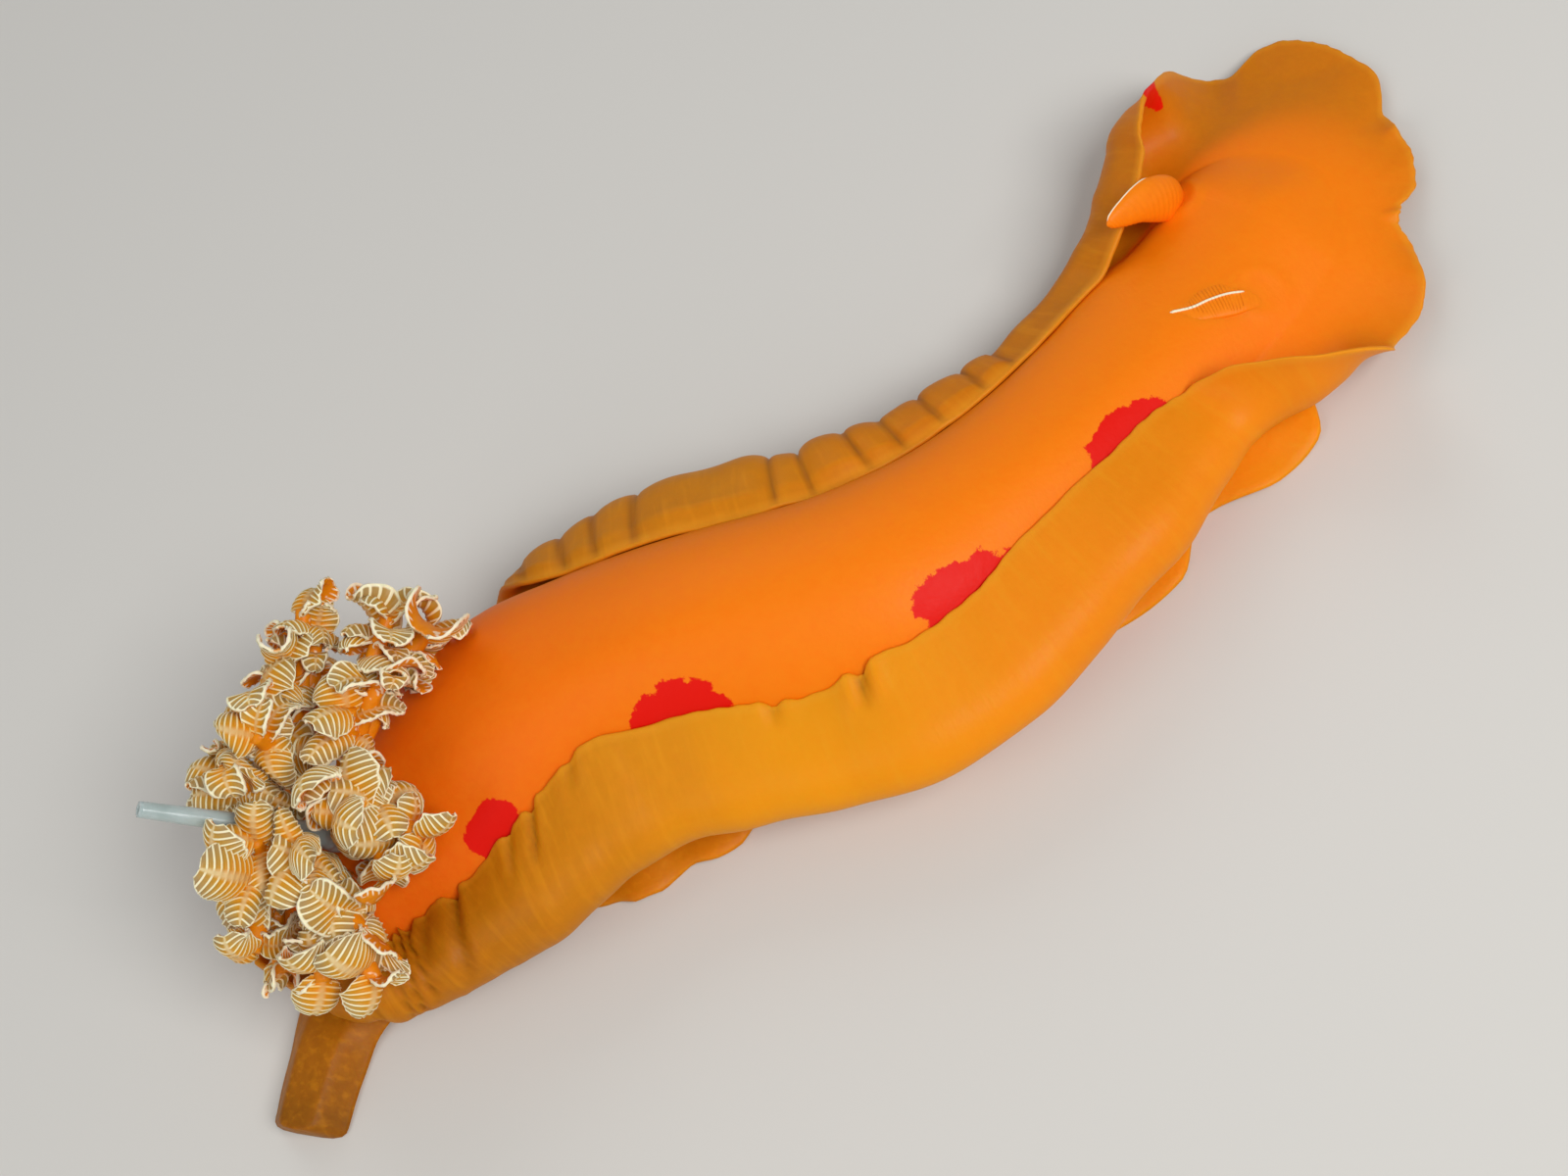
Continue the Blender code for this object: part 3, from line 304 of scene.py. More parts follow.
def spokes(around):
    """For places on the edge: the spine's point, the way out from it, and the share along the spine."""
    a = np.mod(np.asarray(around, float), 4)
    side = np.floor(a).astype(int)
    share = np.choose(side, [a, np.ones_like(a), 3 - a, np.zeros_like(a)])
    turn = np.radians(np.choose(side, [-90 + 0 * a, -90 + 180 * (a - 1), 90 + 0 * a, 90 + 180 * (a - 3)]))
    root, heading = along(SPINE_PATH, share)
    out = np.stack([heading[..., 0] * np.cos(turn) - heading[..., 1] * np.sin(turn),
                    heading[..., 0] * np.sin(turn) + heading[..., 1] * np.cos(turn)], -1)
    return root, out, share


def back(across, around, share):
    """Height of the back at a share of the way from the spine out to the groove."""
    top, groove = follow(HEIGHT, share), ring(GROOVE, around)
    return groove + (top - groove) * np.clip(1 - across ** 2, 0, 1) ** ring(FULLNESS, around)


def nearest(points):
    """The place on the edge whose spoke passes through each floor point, with distance and share."""
    shares = np.linspace(0, 1, SPINE_STEPS)
    spine, heading = along(SPINE_PATH, shares)
    away = points[:, None, :] - spine[None]
    i = (away ** 2).sum(-1).argmin(1)
    step, head = away[np.arange(len(i)), i], heading[i]
    forward = (step * head).sum(-1)
    left = head[:, 0] * step[:, 1] - head[:, 1] * step[:, 0]
    angle = np.degrees(np.arctan2(left, forward))
    side = np.where(left < 0, shares[i], 3 - shares[i])
    front = 1 + (angle + 90) / 180
    rear = 3 + np.mod(angle - 90, 360) / 180
    around = np.where((i == 0) & (forward < 0), rear, side)
    around = np.where((i == len(shares) - 1) & (forward > 0), front, around)
    return around, np.linalg.norm(step, axis=-1), shares[i]


def back_at(points):
    """Height of the back above floor points."""
    around, distance, share = nearest(np.atleast_2d(points))
    return back(distance / ring(ROOT, around), around, share)


SPINE_LENGTH = SPINE_PATH[1][-1]
print("spine:", round(SPINE_LENGTH, 1), "mm")

# %% [markdown]
# The skirt leaves a groove round the back, dips outwards, and on both flanks rolls up and over until its
# rim rests on the back. How far it must turn is found by halving: turn it, measure how near the rim comes
# to the back, and turn less or more. The rim then lies on the back along its whole length, as the living
# edge does.

# %% Roll the skirt
RIM = 0.8                       # the skirt's thickness at its rim
BEND_FROM = 0.04                # share of the width at which the skirt begins to turn
HEAD_STRETCH = (0.85, 2.25, 0.15)       # where the rim's lobes are low: from, to, and its soft ends
REST_GAP = 0.1                  # left under the rim where it rests on the back
SETTLE_PASSES, FULL_TURN = 16, 330.0    # halvings, and the most degrees that the skirt may turn
PROBE_STEPS, PROBE_FROM = 40, 16        # points across the skirt, and the first that is tried
BACK_STEPS = 24                         # points of the back that its distance is measured to
ROLL_PASSES = 4                         # rounds of smoothing along the edge
EDGE_LOBES = [(0.55, 8.3, 0.6), (0.33, 13.7, 2.1)]      # height in mm, lobes per unit round the edge, phase


def margin_width(around):
    """Width of the skirt, with the low lobes of its rim, which the tables already give round the head."""
    lobes = sum(size * np.sin(2 * np.pi * count * around + phase) for size, count, phase in EDGE_LOBES)
    off_head = 1 - 0.8 * stretch(around, *HEAD_STRETCH)
    return ring(WIDTH, around) + lobes * off_head


def margin_line(around, turn, steps):
    """Mid-line of the skirt's section from the groove to its rim: distances, heights and slopes."""
    u = np.linspace(0, 1, steps)
    bend = ring(BEND, around)[:, None]
    t = ramp(u, BEND_FROM, bend - BEND_FROM)
    slope = np.radians(ring(SETOUT, around)[:, None] + turn[:, None] * t * t * (3 - 2 * t))
    step = margin_width(around)[:, None] / (steps - 1)
    middle = (slope[:, 1:] + slope[:, :-1]) / 2
    start = np.zeros((len(around), 1))
    distance = ring(ROOT, around)[:, None] + np.hstack([start, np.cumsum(np.cos(middle) * step, 1)])
    height = (ring(GROOVE, around) - ring(THICK, around) / 2)[:, None] + np.hstack(
        [start, np.cumsum(np.sin(middle) * step, 1)])
    return distance, height, slope


def clearance(distance, height, around, share):
    """How far each point of a section is from the back, below zero inside it."""
    root = ring(ROOT, around)[:, None]
    x = np.sin(np.linspace(0, np.pi / 2, BACK_STEPS))[None]
    back_distance, back_height = x * root, back(x, around[:, None], share[:, None])
    far = np.sqrt(((distance[:, :, None] - back_distance[:, None]) ** 2
                   + (height[:, :, None] - back_height[:, None]) ** 2).min(2))
    under = height < back(np.clip(distance / root, 0, 1), around[:, None], share[:, None])
    return np.where(under & (distance < root), -far, far)


def margin_thickness(around, steps):
    """Thickness of the skirt from the groove to the rim."""
    u = np.linspace(0, 1, steps)[None]
    return RIM + (ring(THICK, around)[:, None] - RIM) * (1 - u) ** 1.3


def rolled(around):
    """How many degrees each section turns: until its rim rests on the back, or its share of that."""
    _, _, share = spokes(around)
    half = margin_thickness(around, PROBE_STEPS)[:, PROBE_FROM:] / 2
    low, high = np.zeros(len(around)), np.full(len(around), FULL_TURN)
    for _ in range(SETTLE_PASSES):
        middle = (low + high) / 2
        distance, height = (line[:, PROBE_FROM:] for line in margin_line(around, middle, PROBE_STEPS)[:2])
        touches = (clearance(distance, height, around, share) - half).min(1) < REST_GAP
        low, high = np.where(touches, low, middle), np.where(touches, middle, high)
    return ring(ROLL, around) * low


SIDE_STATIONS, HEAD_STATIONS, REAR_STATIONS = 232, 160, 96
stations = np.concatenate([
    np.linspace(start, start + 1, count, endpoint=False)
    for start, count in enumerate((SIDE_STATIONS, HEAD_STATIONS, SIDE_STATIONS, REAR_STATIONS))])
turns = rolled(stations)
for _ in range(ROLL_PASSES):
    turns = 0.25 * np.roll(turns, 1) + 0.5 * turns + 0.25 * np.roll(turns, -1)
print("stations:", len(stations), "- the skirt turns up to", round(turns.max()), "degrees")

# %% [markdown]
# Living skin is never an even tube. On the right the roll is smooth, with a finely wavy rim, an overlap at
# mid body and wrinkles where it narrows to the rear. On the left it bulges into pillows between creases,
# short ones and one long one. Round the head a few broad folds run out to the rim. These are small moves of
# the faces, each placed by the millimetre along the edge, so that they read as folds in the flesh and not
# as a painted pattern.
# A thin line of painted shade is laid along the creases as well.

# %% Folds, creases and scallops
def edge_distance(around, place_at):
    """Millimetres along the edge from a place on it."""
    gap = np.mod(around - place_at + 2, 4) - 2
    return gap * SPINE_LENGTH


# Place on the edge at the rim, lean towards the groove, depth, half width, and the share of the width where
# each starts
CREASES = [(0.494, -0.010, 0.9, 0.7, 0.80), (0.424, -0.006, 0.5, 0.8, 0.86),
           (0.237, -0.02, 0.35, 0.9, 0.84), (0.183, -0.030, 0.7, 0.7, 0.72),
           (0.150, -0.030, 0.5, 0.8, 0.75), (0.052, -0.035, 0.8, 0.8, 0.45),
           (0.020, -0.035, 0.5, 0.7, 0.55), (0.004, -0.040, 0.8, 0.8, 0.45), (-0.022, -0.05, 0.7, 0.8, 0.4),
           (-0.05, -0.05, 0.5, 0.8, 0.4)]
LEFT_CREASES = [2.235, 2.275, 2.33, 2.378, 2.42, 2.489, 2.531, 2.662, 2.699, 2.728, 2.764, 2.79]
CREASE_LINE = 0.6               # half width in mm of the dark line in a crease
CREASE_START = 0.12             # share of the width over which a crease deepens
LEFT_LINES = (0.3, 0.2)         # where the left creases' lines start, and the length over which they darken
LEFT_STRETCH = (2.05, 3.1, 0.08)        # where the rim has no scallops: from, to, and its soft ends
LEAN, LEAN_FROM = 0.012, 2.1    # how far the left creases bend to the side along the edge, and from where
BANK_HEIGHT, BANK_OFF, BANK_HALF = 0.45, 2.2, 1.2       # beside a crease, in its own depth and half widths
SKIN_RIPPLE = 0.12              # mm
SCALLOP_PITCH, SCALLOP_SIZE, SWAY_SIZE = 3.4, 0.13, 0.22    # mm along the rim, then mm out from it
NOTCH_DEPTH, NOTCH_WIDTH = 0.8, 1.3     # of a crease's notch in the rim, in its own depth and half widths
VEIL_ARC = 0.55                 # what a millimetre of edge_distance comes to on the short veil
# Folds of the veil: place on the edge, height, half width, and the share of the width where each starts
VEIL_FOLDS = [(1.06, 0.7, 3.0, 0.3), (1.14, -0.5, 2.0, 0.5), (1.215, 0.8, 1.3, 0.6), (1.30, -0.5, 2.4, 0.4),
              (1.415, 0.9, 1.5, 0.72), (1.46, -0.5, 2.0, 0.6), (1.55, 0.8, 4.0, 0.3),
              (1.635, -0.5, 3.0, 0.4), (1.70, 1.0, 2.4, 0.45), (1.765, -0.6, 2.6, 0.5)]


def leaning(a, x):
    """The place on the edge that the left creases, which lean and bend, have at a share of the width."""
    return a + LEAN * np.sin(2 * np.pi * (3.1 * a + 0.35 * x)) * (1 - x) * ramp(a, LEAN_FROM, 0.25)


def crease_shade_lines(around, u):
    """How much painted shade the creases lay on each point of the outer face, from 0 to 1."""
    a, x = around[:, None], u[None]
    lines = np.zeros_like(a + x)
    for at, lean, depth, _, start in CREASES:
        off = edge_distance(a, at + lean * (1 - x) * 2)
        lines = np.maximum(lines, depth * ramp(x, start, CREASE_START) * bell(off, CREASE_LINE))
    for at in LEFT_CREASES:
        off = edge_distance(leaning(a, x), at)
        lines = np.maximum(lines, bell(off, CREASE_LINE) * ramp(x, *LEFT_LINES))
    return lines


def outer_swell(around, u):
    """How far the outer face stands out from its plain form, in mm."""
    a, x = around[:, None], u[None]
    ripple = np.sin(2 * np.pi * (7.1 * a + 0.6 * x)) * np.sin(2 * np.pi * 4.3 * a + 1.0)
    swell = SKIN_RIPPLE * ripple * np.clip(3 * x, 0, 1)
    for at, lean, depth, half, start in CREASES:
        off = edge_distance(a, at + lean * (1 - x) * 2) / half
        banks = BANK_HEIGHT * bell(np.abs(off) - BANK_OFF, BANK_HALF)
        swell = swell - depth * ramp(x, start, CREASE_START) * (bell(off, 1) - banks)
    # Each pillow is full in the middle and pinched at its creases, which lean and bend a little
    pillow = np.zeros_like(a + x)
    bent = leaning(a, x)
    for start, end in zip(LEFT_CREASES, LEFT_CREASES[1:]):
        t = ramp(bent, start, end - start)
        full = min(1.5, 0.4 + (end - start) * 16)
        pillow = pillow + (4 * t * (1 - t)) ** 0.4 * full * (1 + 0.25 * np.sin(9 * start * 40) * (t - 0.5))
    return swell + pillow * np.minimum(ramp(x, 0.25, 0.2), ramp(x, 1, -0.1))


def veil_swell(around, u):
    """How far the veil rises in its soft folds, in mm."""
    rise = np.zeros((len(around), len(u)))
    for at, size, half, start in VEIL_FOLDS:
        across = edge_distance(around, at)[:, None] * VEIL_ARC
        rise += size * bell(across, half) * ramp(u[None], start, 1 - start) ** 1.3
    return rise


def scallops(around):
    """How far the rim runs on over the back, in mm: fine lobes, and notches where it overlaps itself."""
    run = edge_distance(around, 0)
    wave = np.sin(2 * np.pi * (run / SCALLOP_PITCH + 0.4 * np.sin(run / 4.7)))
    fine = SCALLOP_SIZE * wave * (0.6 + 0.4 * np.sin(run / 9.1))
    fine = fine + SWAY_SIZE * np.sin(run / 4.3) * np.sin(run / 2.9)
    for at, _, depth, half, _ in CREASES:
        fine = fine - NOTCH_DEPTH * depth * bell(edge_distance(around, at), NOTCH_WIDTH * half)
    return fine * (1 - stretch(around, *LEFT_STRETCH))


print("creases:", len(CREASES), "pillows:", len(LEFT_CREASES) - 1, "folds of the veil:", len(VEIL_FOLDS))

# %% [markdown]
# Now each section becomes one closed line: over the back from the spine to the groove, up the inside of the
# roll to the rim, round it, back down the outer face, in along the flank, and under to the middle. Seven
# hundred such lines side by side make the skin of body and skirt without a seam. A grid in numbers is the
# simplest way to do this, since each row keeps its meaning and can be coloured by it later.

# %% Sections of the skin
BACK_ROWS, SKIRT_ROWS, RIM_ROWS, FLANK_ROWS, SOLE_ROWS = 24, 38, 4, 6, 4
FLANK_INSET, FOOT_TOP, BODY_FLOOR = 2.5, 3.0, 2.4
SKIRT_LOW = 0.7                         # height that the open skirt keeps above the floor
GROOVE_PASSES, GROOVE_REACH = 6, 3      # rounds of softening at the groove, and the rows on either side
RHINOPHORE_FEET = [(72.2, 13.6), (70.8, -6.4)]
VENT = (-64, 7)
# Soft collars on the back: centre, radius, height and half width in mm
COLLARS = [(RHINOPHORE_FEET[0], 2.9, 0.45, 0.9), (RHINOPHORE_FEET[1], 3.0, 0.2, 1.0), (VENT, 3.1, 0.6, 0.8),
           (VENT, 9.0, 0.5, 1.2)]


def on_plan(around, distance):
    """Floor points at distances from the spine, one row for each place on the edge."""
    root, out, _ = spokes(around)
    return root[:, None, :] + out[:, None, :] * distance[..., None]


def collars(points):
    """Height added to the back by the soft collars round what stands on it."""
    rise = np.zeros(points.shape[:-1])
    for centre, radius, size, width in COLLARS:
        away = np.linalg.norm(points[..., :2] - centre, axis=-1)
        rise += size * bell(away - radius, width)
    return rise


def skin_sections(around):
    """Points of the skin, one closed line for each place on the edge, and what each row is."""
    _, _, share = spokes(around)
    a, s, root = around[:, None], share[:, None], ring(ROOT, around)[:, None]
    across = np.sin(np.linspace(0, np.pi / 2, BACK_ROWS))[None]
    back_distance = across * root
    back_height = back(across, a, s)
    back_points = np.concatenate([on_plan(around, back_distance), back_height[..., None]], -1)
    back_points[..., 2] += collars(back_points) * np.clip((1 - across) * 6, 0, 1)

    distance, height, slope = margin_line(around, turns, SKIRT_ROWS)
    u = np.linspace(0, 1, SKIRT_ROWS)
    thick = margin_thickness(around, SKIRT_ROWS)
    height = np.maximum(height + veil_swell(around, u), SKIRT_LOW + thick / 2)
    # The rim's scallops slide along the back, and out along the skirt where it lies open
    slide = scallops(around)[:, None] * ramp(u[None], 0.93, 0.07) ** 1.3
    distance = distance + slide * np.cos(slope)
    height = height + slide * np.sin(slope)
    tilt = slope * ramp(u[None], 0, 0.15)
    low = thick / 2 + outer_swell(around, u)
    inner_distance, inner_height = distance - np.sin(tilt) * thick / 2, height + np.cos(tilt) * thick / 2
    outer_distance, outer_height = distance + np.sin(tilt) * low, height - np.cos(tilt) * low
    # The rim is a half circle between the two faces
    turn = np.linspace(0, np.pi, RIM_ROWS + 2)[None, 1:-1] - slope[:, -1:]
    half = (thick[:, -1:] / 2 + low[:, -1:]) / 2
    rim_distance = (inner_distance[:, -1:] + outer_distance[:, -1:]) / 2 + half * np.sin(turn)
    rim_height = (inner_height[:, -1:] + outer_height[:, -1:]) / 2 + half * np.cos(turn)

    t = np.linspace(0, 1, FLANK_ROWS + 1)[None, 1:]
    flank_distance = root - FLANK_INSET * np.sin(t * np.pi / 2)
    flank_height = outer_height[:, :1] + (BODY_FLOOR - outer_height[:, :1]) * t
    t = np.linspace(0, 1, SOLE_ROWS + 1)[None, 1:]
    sole_distance = (root - FLANK_INSET) * (1 - t)
    sole_height = np.full_like(sole_distance, BODY_FLOOR)
    rest_distance = np.hstack([inner_distance[:, 1:], rim_distance, outer_distance[:, ::-1],
                               flank_distance, sole_distance])
    rest_height = np.hstack([inner_height[:, 1:], rim_height, outer_height[:, ::-1],
                             flank_height, sole_height])
    rest = np.concatenate([on_plan(around, rest_distance), rest_height[..., None]], -1)
    return np.concatenate([back_points, rest], 1), margin_width(around), u


section_points, widths, skirt_share = skin_sections(stations)
rows = section_points.shape[1]
# Soften the fold of the groove along each section
first, last = BACK_ROWS - 1 - GROOVE_REACH, BACK_ROWS + GROOVE_REACH
for _ in range(GROOVE_PASSES):
    before, here, after = (section_points[:, first + k:last + k] for k in (-1, 0, 1))
    section_points[:, first:last] = 0.25 * before + 0.5 * here + 0.25 * after
print("points on the skin of body and skirt:", section_points.shape[0] * rows)

# %% [markdown]
# The foot is a long flat sole that trails into a strap of a tail. It is lofted the same way along a path of
# its own, thick in the middle and thin at its rippled edge, and rounded there.

# %% The foot and the tail
# Knots of the foot's own spine on the floor plan, and its half widths along it
FOOT_SPINE = [(-89.5, -14), (-84.5, -9), (-79, -4.5), (-66, 2.5), (-50, 6), (-31, 3.5), (-12, -2.5),
              (7, -9), (25, -10.5), (43, -8), (60, -2.5), (71, 1.5)]
FOOT_RIGHT = [(0, 5.2), (0.05, 5.6), (0.1, 7), (0.2, 12.5), (0.26, 16), (0.3, 18.5), (0.32, 19.8),
              (0.34, 20.5), (0.36, 22), (0.38, 22), (0.4, 21), (0.42, 20.3), (0.44, 20.8), (0.46, 20),
              (0.48, 17.5), (0.52, 16.3), (0.65, 15.5), (0.74, 17), (0.79, 18.5), (0.83, 14.5), (0.88, 20),
              (0.92, 21), (0.96, 15), (1, 10)]
FOOT_LEFT = [(0, 5.2), (0.05, 5.8), (0.1, 7), (0.2, 12.5), (0.3, 17), (0.5, 18), (0.65, 15.5), (0.8, 14.5),
             (0.9, 14), (1, 10)]
FOOT_EDGE, FOOT_SECTIONS, FOOT_COLUMNS = 0.7, 150, 36
FOOT_RIPPLES, RIPPLE_HEIGHT, TAIL_CROWN = 14, 0.9, 1.4
# The rounded ends: how far each reaches, and the shares of that at which it has a section
TAIL_REACH, TAIL_SHARES = 2.2, np.array([0.995, 0.95, 0.8, 0.55, 0.25])
FRONT_REACH, FRONT_SHARES = 8, np.array([0.15, 0.35, 0.55, 0.72, 0.86, 0.95, 0.99])


def foot_sections():
    """Closed lines round the foot from its tail to its front, and each line's share of the way along it."""
    rear, front = slice(None, len(TAIL_SHARES)), slice(-len(FRONT_SHARES), None)
    share = np.concatenate([0 * TAIL_SHARES, np.linspace(0, 1, FOOT_SECTIONS), 1 + 0 * FRONT_SHARES])
    centre, heading = along(batten(FOOT_SPINE), share)
    centre[rear] -= heading[rear] * TAIL_REACH * TAIL_SHARES[:, None]
    centre[front] += heading[front] * FRONT_REACH * FRONT_SHARES[:, None]
    right_half, left_half = follow(FOOT_RIGHT, share), follow(FOOT_LEFT, share)
    for half in (right_half, left_half):
        half[rear] *= (1 - TAIL_SHARES ** 4) ** 0.25
        half[front] *= np.sqrt(1 - FRONT_SHARES ** 2)
    side = np.stack([-heading[:, 1], heading[:, 0]], -1)
    v = np.linspace(-1, 1, FOOT_COLUMNS)
    v = np.sign(v) * np.abs(v) ** 0.85
    tail = ramp(share, 0.1, -0.05)[:, None]
    crown = FOOT_TOP + tail * TAIL_CROWN * (1 - v[None] ** 2)
    top = FOOT_EDGE + (crown - FOOT_EDGE) * (1 - ramp(np.abs(v)[None], 0.45, 0.55) ** 1.5)
    wave = RIPPLE_HEIGHT * (0.5 + 0.5 * np.sin(2 * np.pi * FOOT_RIPPLES * share + 1.0))
    lift = (wave * ramp(share, 0, 0.1))[:, None] * ramp(np.abs(v)[None], 0.6, 0.4) ** 1.5
    offset = v[None] * np.where(v[None] < 0, right_half[:, None], left_half[:, None])
    plan = centre[:, None] + side[:, None] * offset[..., None]
    upper, lower = (np.concatenate([plan, height[..., None]], -1) for height in (top + lift, lift))
    right_edge, left_edge = ((upper[:, [k]] + lower[:, [k]]) / 2 for k in (0, -1))
    right_edge[..., :2] -= 0.5 * FOOT_EDGE * side[:, None]
    left_edge[..., :2] += 0.5 * FOOT_EDGE * side[:, None]
    return np.concatenate([upper, left_edge, lower[:, ::-1], right_edge], 1), share


foot_lines, foot_share = foot_sections()
print("points on the foot:", foot_lines.shape[0] * foot_lines.shape[1])

# %% [markdown]
# The two closed surfaces are joined by a Boolean union, which cuts away what lies inside the other and
# leaves one skin. Each point then needs to know what it is, so the values that the colours use are kept
# beside the points and given to the joined mesh by looking up the nearest old point.

# %% Join them into one skin
WELD, SLIVER = 1e-6, 1e-7       # in metres: points that are one, and faces too thin to keep


def mesh_object(name, points, faces):
    """A smooth mesh object from points in millimetres."""
    mesh = bpy.data.meshes.new(name)
    mesh.from_pydata((np.asarray(points).reshape(-1, 3) * MM).tolist(), [], faces)
    mesh.shade_smooth()
    made = bpy.data.objects.new(name, mesh)
    bpy.context.scene.collection.objects.link(made)
    return made


def lattice(count_a, count_b, close_a=False, close_b=False, start=0):
    """Quads over a grid of points, closed round in either direction if asked."""
    index = start + np.arange(count_a * count_b).reshape(count_a, count_b)
    if close_a:
        index = np.vstack([index, index[:1]])
    if close_b:
        index = np.hstack([index, index[:, :1]])
    corners = [index[:-1, :-1], index[1:, :-1], index[1:, 1:], index[:-1, 1:]]
    return np.stack(corners, -1).reshape(-1, 4).tolist()


def turn_outwards(made, weld=0.0):
    """Turn all faces outwards, and first merge points nearer than a distance in metres."""
    mesh = bmesh.new()
    mesh.from_mesh(made.data)
    if weld:
        bmesh.ops.remove_doubles(mesh, verts=mesh.verts, dist=weld)
        bmesh.ops.dissolve_degenerate(mesh, edges=mesh.edges, dist=SLIVER)
    bmesh.ops.recalc_face_normals(mesh, faces=mesh.faces)
    mesh.to_mesh(made.data)
    mesh.free()


def shut_ends(count_a, count_b, start=0):
    """Two many-sided faces that close the ends of a loft."""
    first, last = start, start + (count_a - 1) * count_b
    return [list(range(first, first + count_b))[::-1], list(range(last, last + count_b))]


skin = mesh_object("dancer_skin", section_points, lattice(len(stations), rows, close_a=True))
foot_size = foot_lines.shape[:2]
foot = mesh_object("foot_shape", foot_lines, lattice(*foot_size, close_b=True) + shut_ends(*foot_size))
for shape in (skin, foot):
    turn_outwards(shape, WELD)
union = skin.modifiers.new("union", "BOOLEAN")
union.operation, union.solver, union.object = "UNION", "MANIFOLD", foot
joined = bpy.data.meshes.new_from_object(skin.evaluated_get(bpy.context.evaluated_depsgraph_get()))
skin.modifiers.clear()
skin.data = joined
bpy.data.objects.remove(foot)
skin.data.shade_smooth()
print("triangles on the skin:", sum(len(face.vertices) - 2 for face in skin.data.polygons))

# %% [markdown]
# What each point is: how far it lies from the rim, whether it is the face that the water sees when the
# skirt is rolled, whether it is foot, and how near it is to one of the red spots. A map of the edge, bent
# into a ring so that it has no seam, lets fine streaks run across the skirt all the way round.

# %% Values that the colours follow
# Spots by place on the edge and distance from the spine, with half sizes along and across in mm
RED_SPOTS = [(0.137, 12.6, 4.7, 3.2), (0.345, 11.2, 6.9, 4.0), (0.588, 10.4, 6.9, 3.6),
             (0.762, 6.5, 6.0, 2.8)]
# The veil's spot: place on the edge, distance from the rim and half size in mm, and how a step across counts
VEIL_SPOT = (1.872, 1.7, 2.3, 0.6)
# Over how many mm the back's orange turns to the skirt's ochre
FADE = [(0, 8), (0.85, 8), (1, 13), (1.55, 13), (1.8, 5), (1.95, 1.5), (3, 2), (3.5, 5)]
# Skirt's yellow round the edge, partly its own tone, partly painted shade: dull at the rear and on the left
CLEAR_AND_LIT = [(0, 0.05), (0.1, 0.15), (0.25, 0.42), (0.45, 0.95), (0.62, 0.85), (0.85, 0.8), (1, 0.85),
         (1.3, 0.75), (1.6, 0.45), (1.78, 0.34), (1.9, 0.6), (1.97, 0.42), (2.08, 0.24), (2.2, 0.2),
         (2.4, 0.38), (2.7, 0.3), (2.88, 0.22), (3, 0.1), (3.5, 0)]

EDGE_ROW = 45                   # the row, past the middle of the skirt, along which the streaks are spaced
FAR, NO_SPOT = 30.0, -3.0       # mm from the rim and mm within a spot, for points that are far from both
FOOT_MAP = (0, 0, 60)           # where in the pattern of streaks the foot's own begin, in mm


def keep_on_points(made, name, kept):
    """Keep one value, or three, on every point of a mesh."""
    kind, field = ("FLOAT", "value") if kept.ndim == 1 else ("FLOAT_VECTOR", "vector")
    attribute = made.data.attributes.new(name, kind, "POINT")
    attribute.data.foreach_set(field, kept.astype(np.float32).ravel())


def with_foot(on_skin, on_foot):
    """One value for each point of the skin, and after them for each point of the foot."""
    return np.concatenate([np.broadcast_to(on_skin, from_rim.shape).ravel(),
                           np.broadcast_to(on_foot, foot_lines.shape[:2]).ravel()])


edge = section_points[:, EDGE_ROW, :2]
edge_steps = np.linalg.norm(np.diff(edge, axis=0, append=edge[:1]), axis=1)
edge_run = np.concatenate([[0], np.cumsum(edge_steps)])
edge_radius = edge_run[-1] / (2 * np.pi)
turn_round = (edge_run[:-1] / edge_radius)[:, None]

inner_rows = slice(BACK_ROWS - 1, BACK_ROWS - 1 + SKIRT_ROWS)
rim_rows = slice(inner_rows.stop, inner_rows.stop + RIM_ROWS)
outer_rows = slice(rim_rows.stop, rim_rows.stop + SKIRT_ROWS)
skirt_rows = slice(inner_rows.start, outer_rows.stop)
share_across = np.zeros(rows)
share_across[inner_rows] = skirt_share
share_across[rim_rows] = 1.0
share_across[outer_rows] = skirt_share[::-1]
across_skirt = share_across * widths[:, None]
from_rim = np.full(across_skirt.shape, FAR)
from_rim[:, skirt_rows] = widths[:, None] - across_skirt[:, skirt_rows]
under = np.zeros(rows)
under[rim_rows.stop - RIM_ROWS // 2:] = 1.0
# The back's orange fades into the skirt's ochre, so that no edge shows between them on the open veil
skirt = np.clip(across_skirt / ring(FADE, stations)[:, None], 0, 1)
skirt = skirt * skirt * (3 - 2 * skirt)
# Painted shade along the creases of the outer face
crease_shade = np.zeros(from_rim.shape)
crease_shade[:, outer_rows] = crease_shade_lines(stations, skirt_share)[:, ::-1]

spot = np.full(from_rim.shape, NO_SPOT)
away_from_spine = nearest(section_points[:, :BACK_ROWS, :2].reshape(-1, 2))[1].reshape(-1, BACK_ROWS)
for at, distance, half_along, half_across in RED_SPOTS:
    way_along = edge_distance(stations, at)[:, None] / half_along
    reach = np.hypot(way_along, (away_from_spine - distance) / half_across)
    spot[:, :BACK_ROWS] = np.maximum(spot[:, :BACK_ROWS], (1 - reach) * half_across)
at, distance, half, squeeze = VEIL_SPOT
lip = half - np.hypot(VEIL_ARC * edge_distance(stations, at)[:, None], (from_rim - distance) * squeeze)
spot[:, BACK_ROWS:outer_rows.stop] = lip[:, BACK_ROWS:outer_rows.stop]

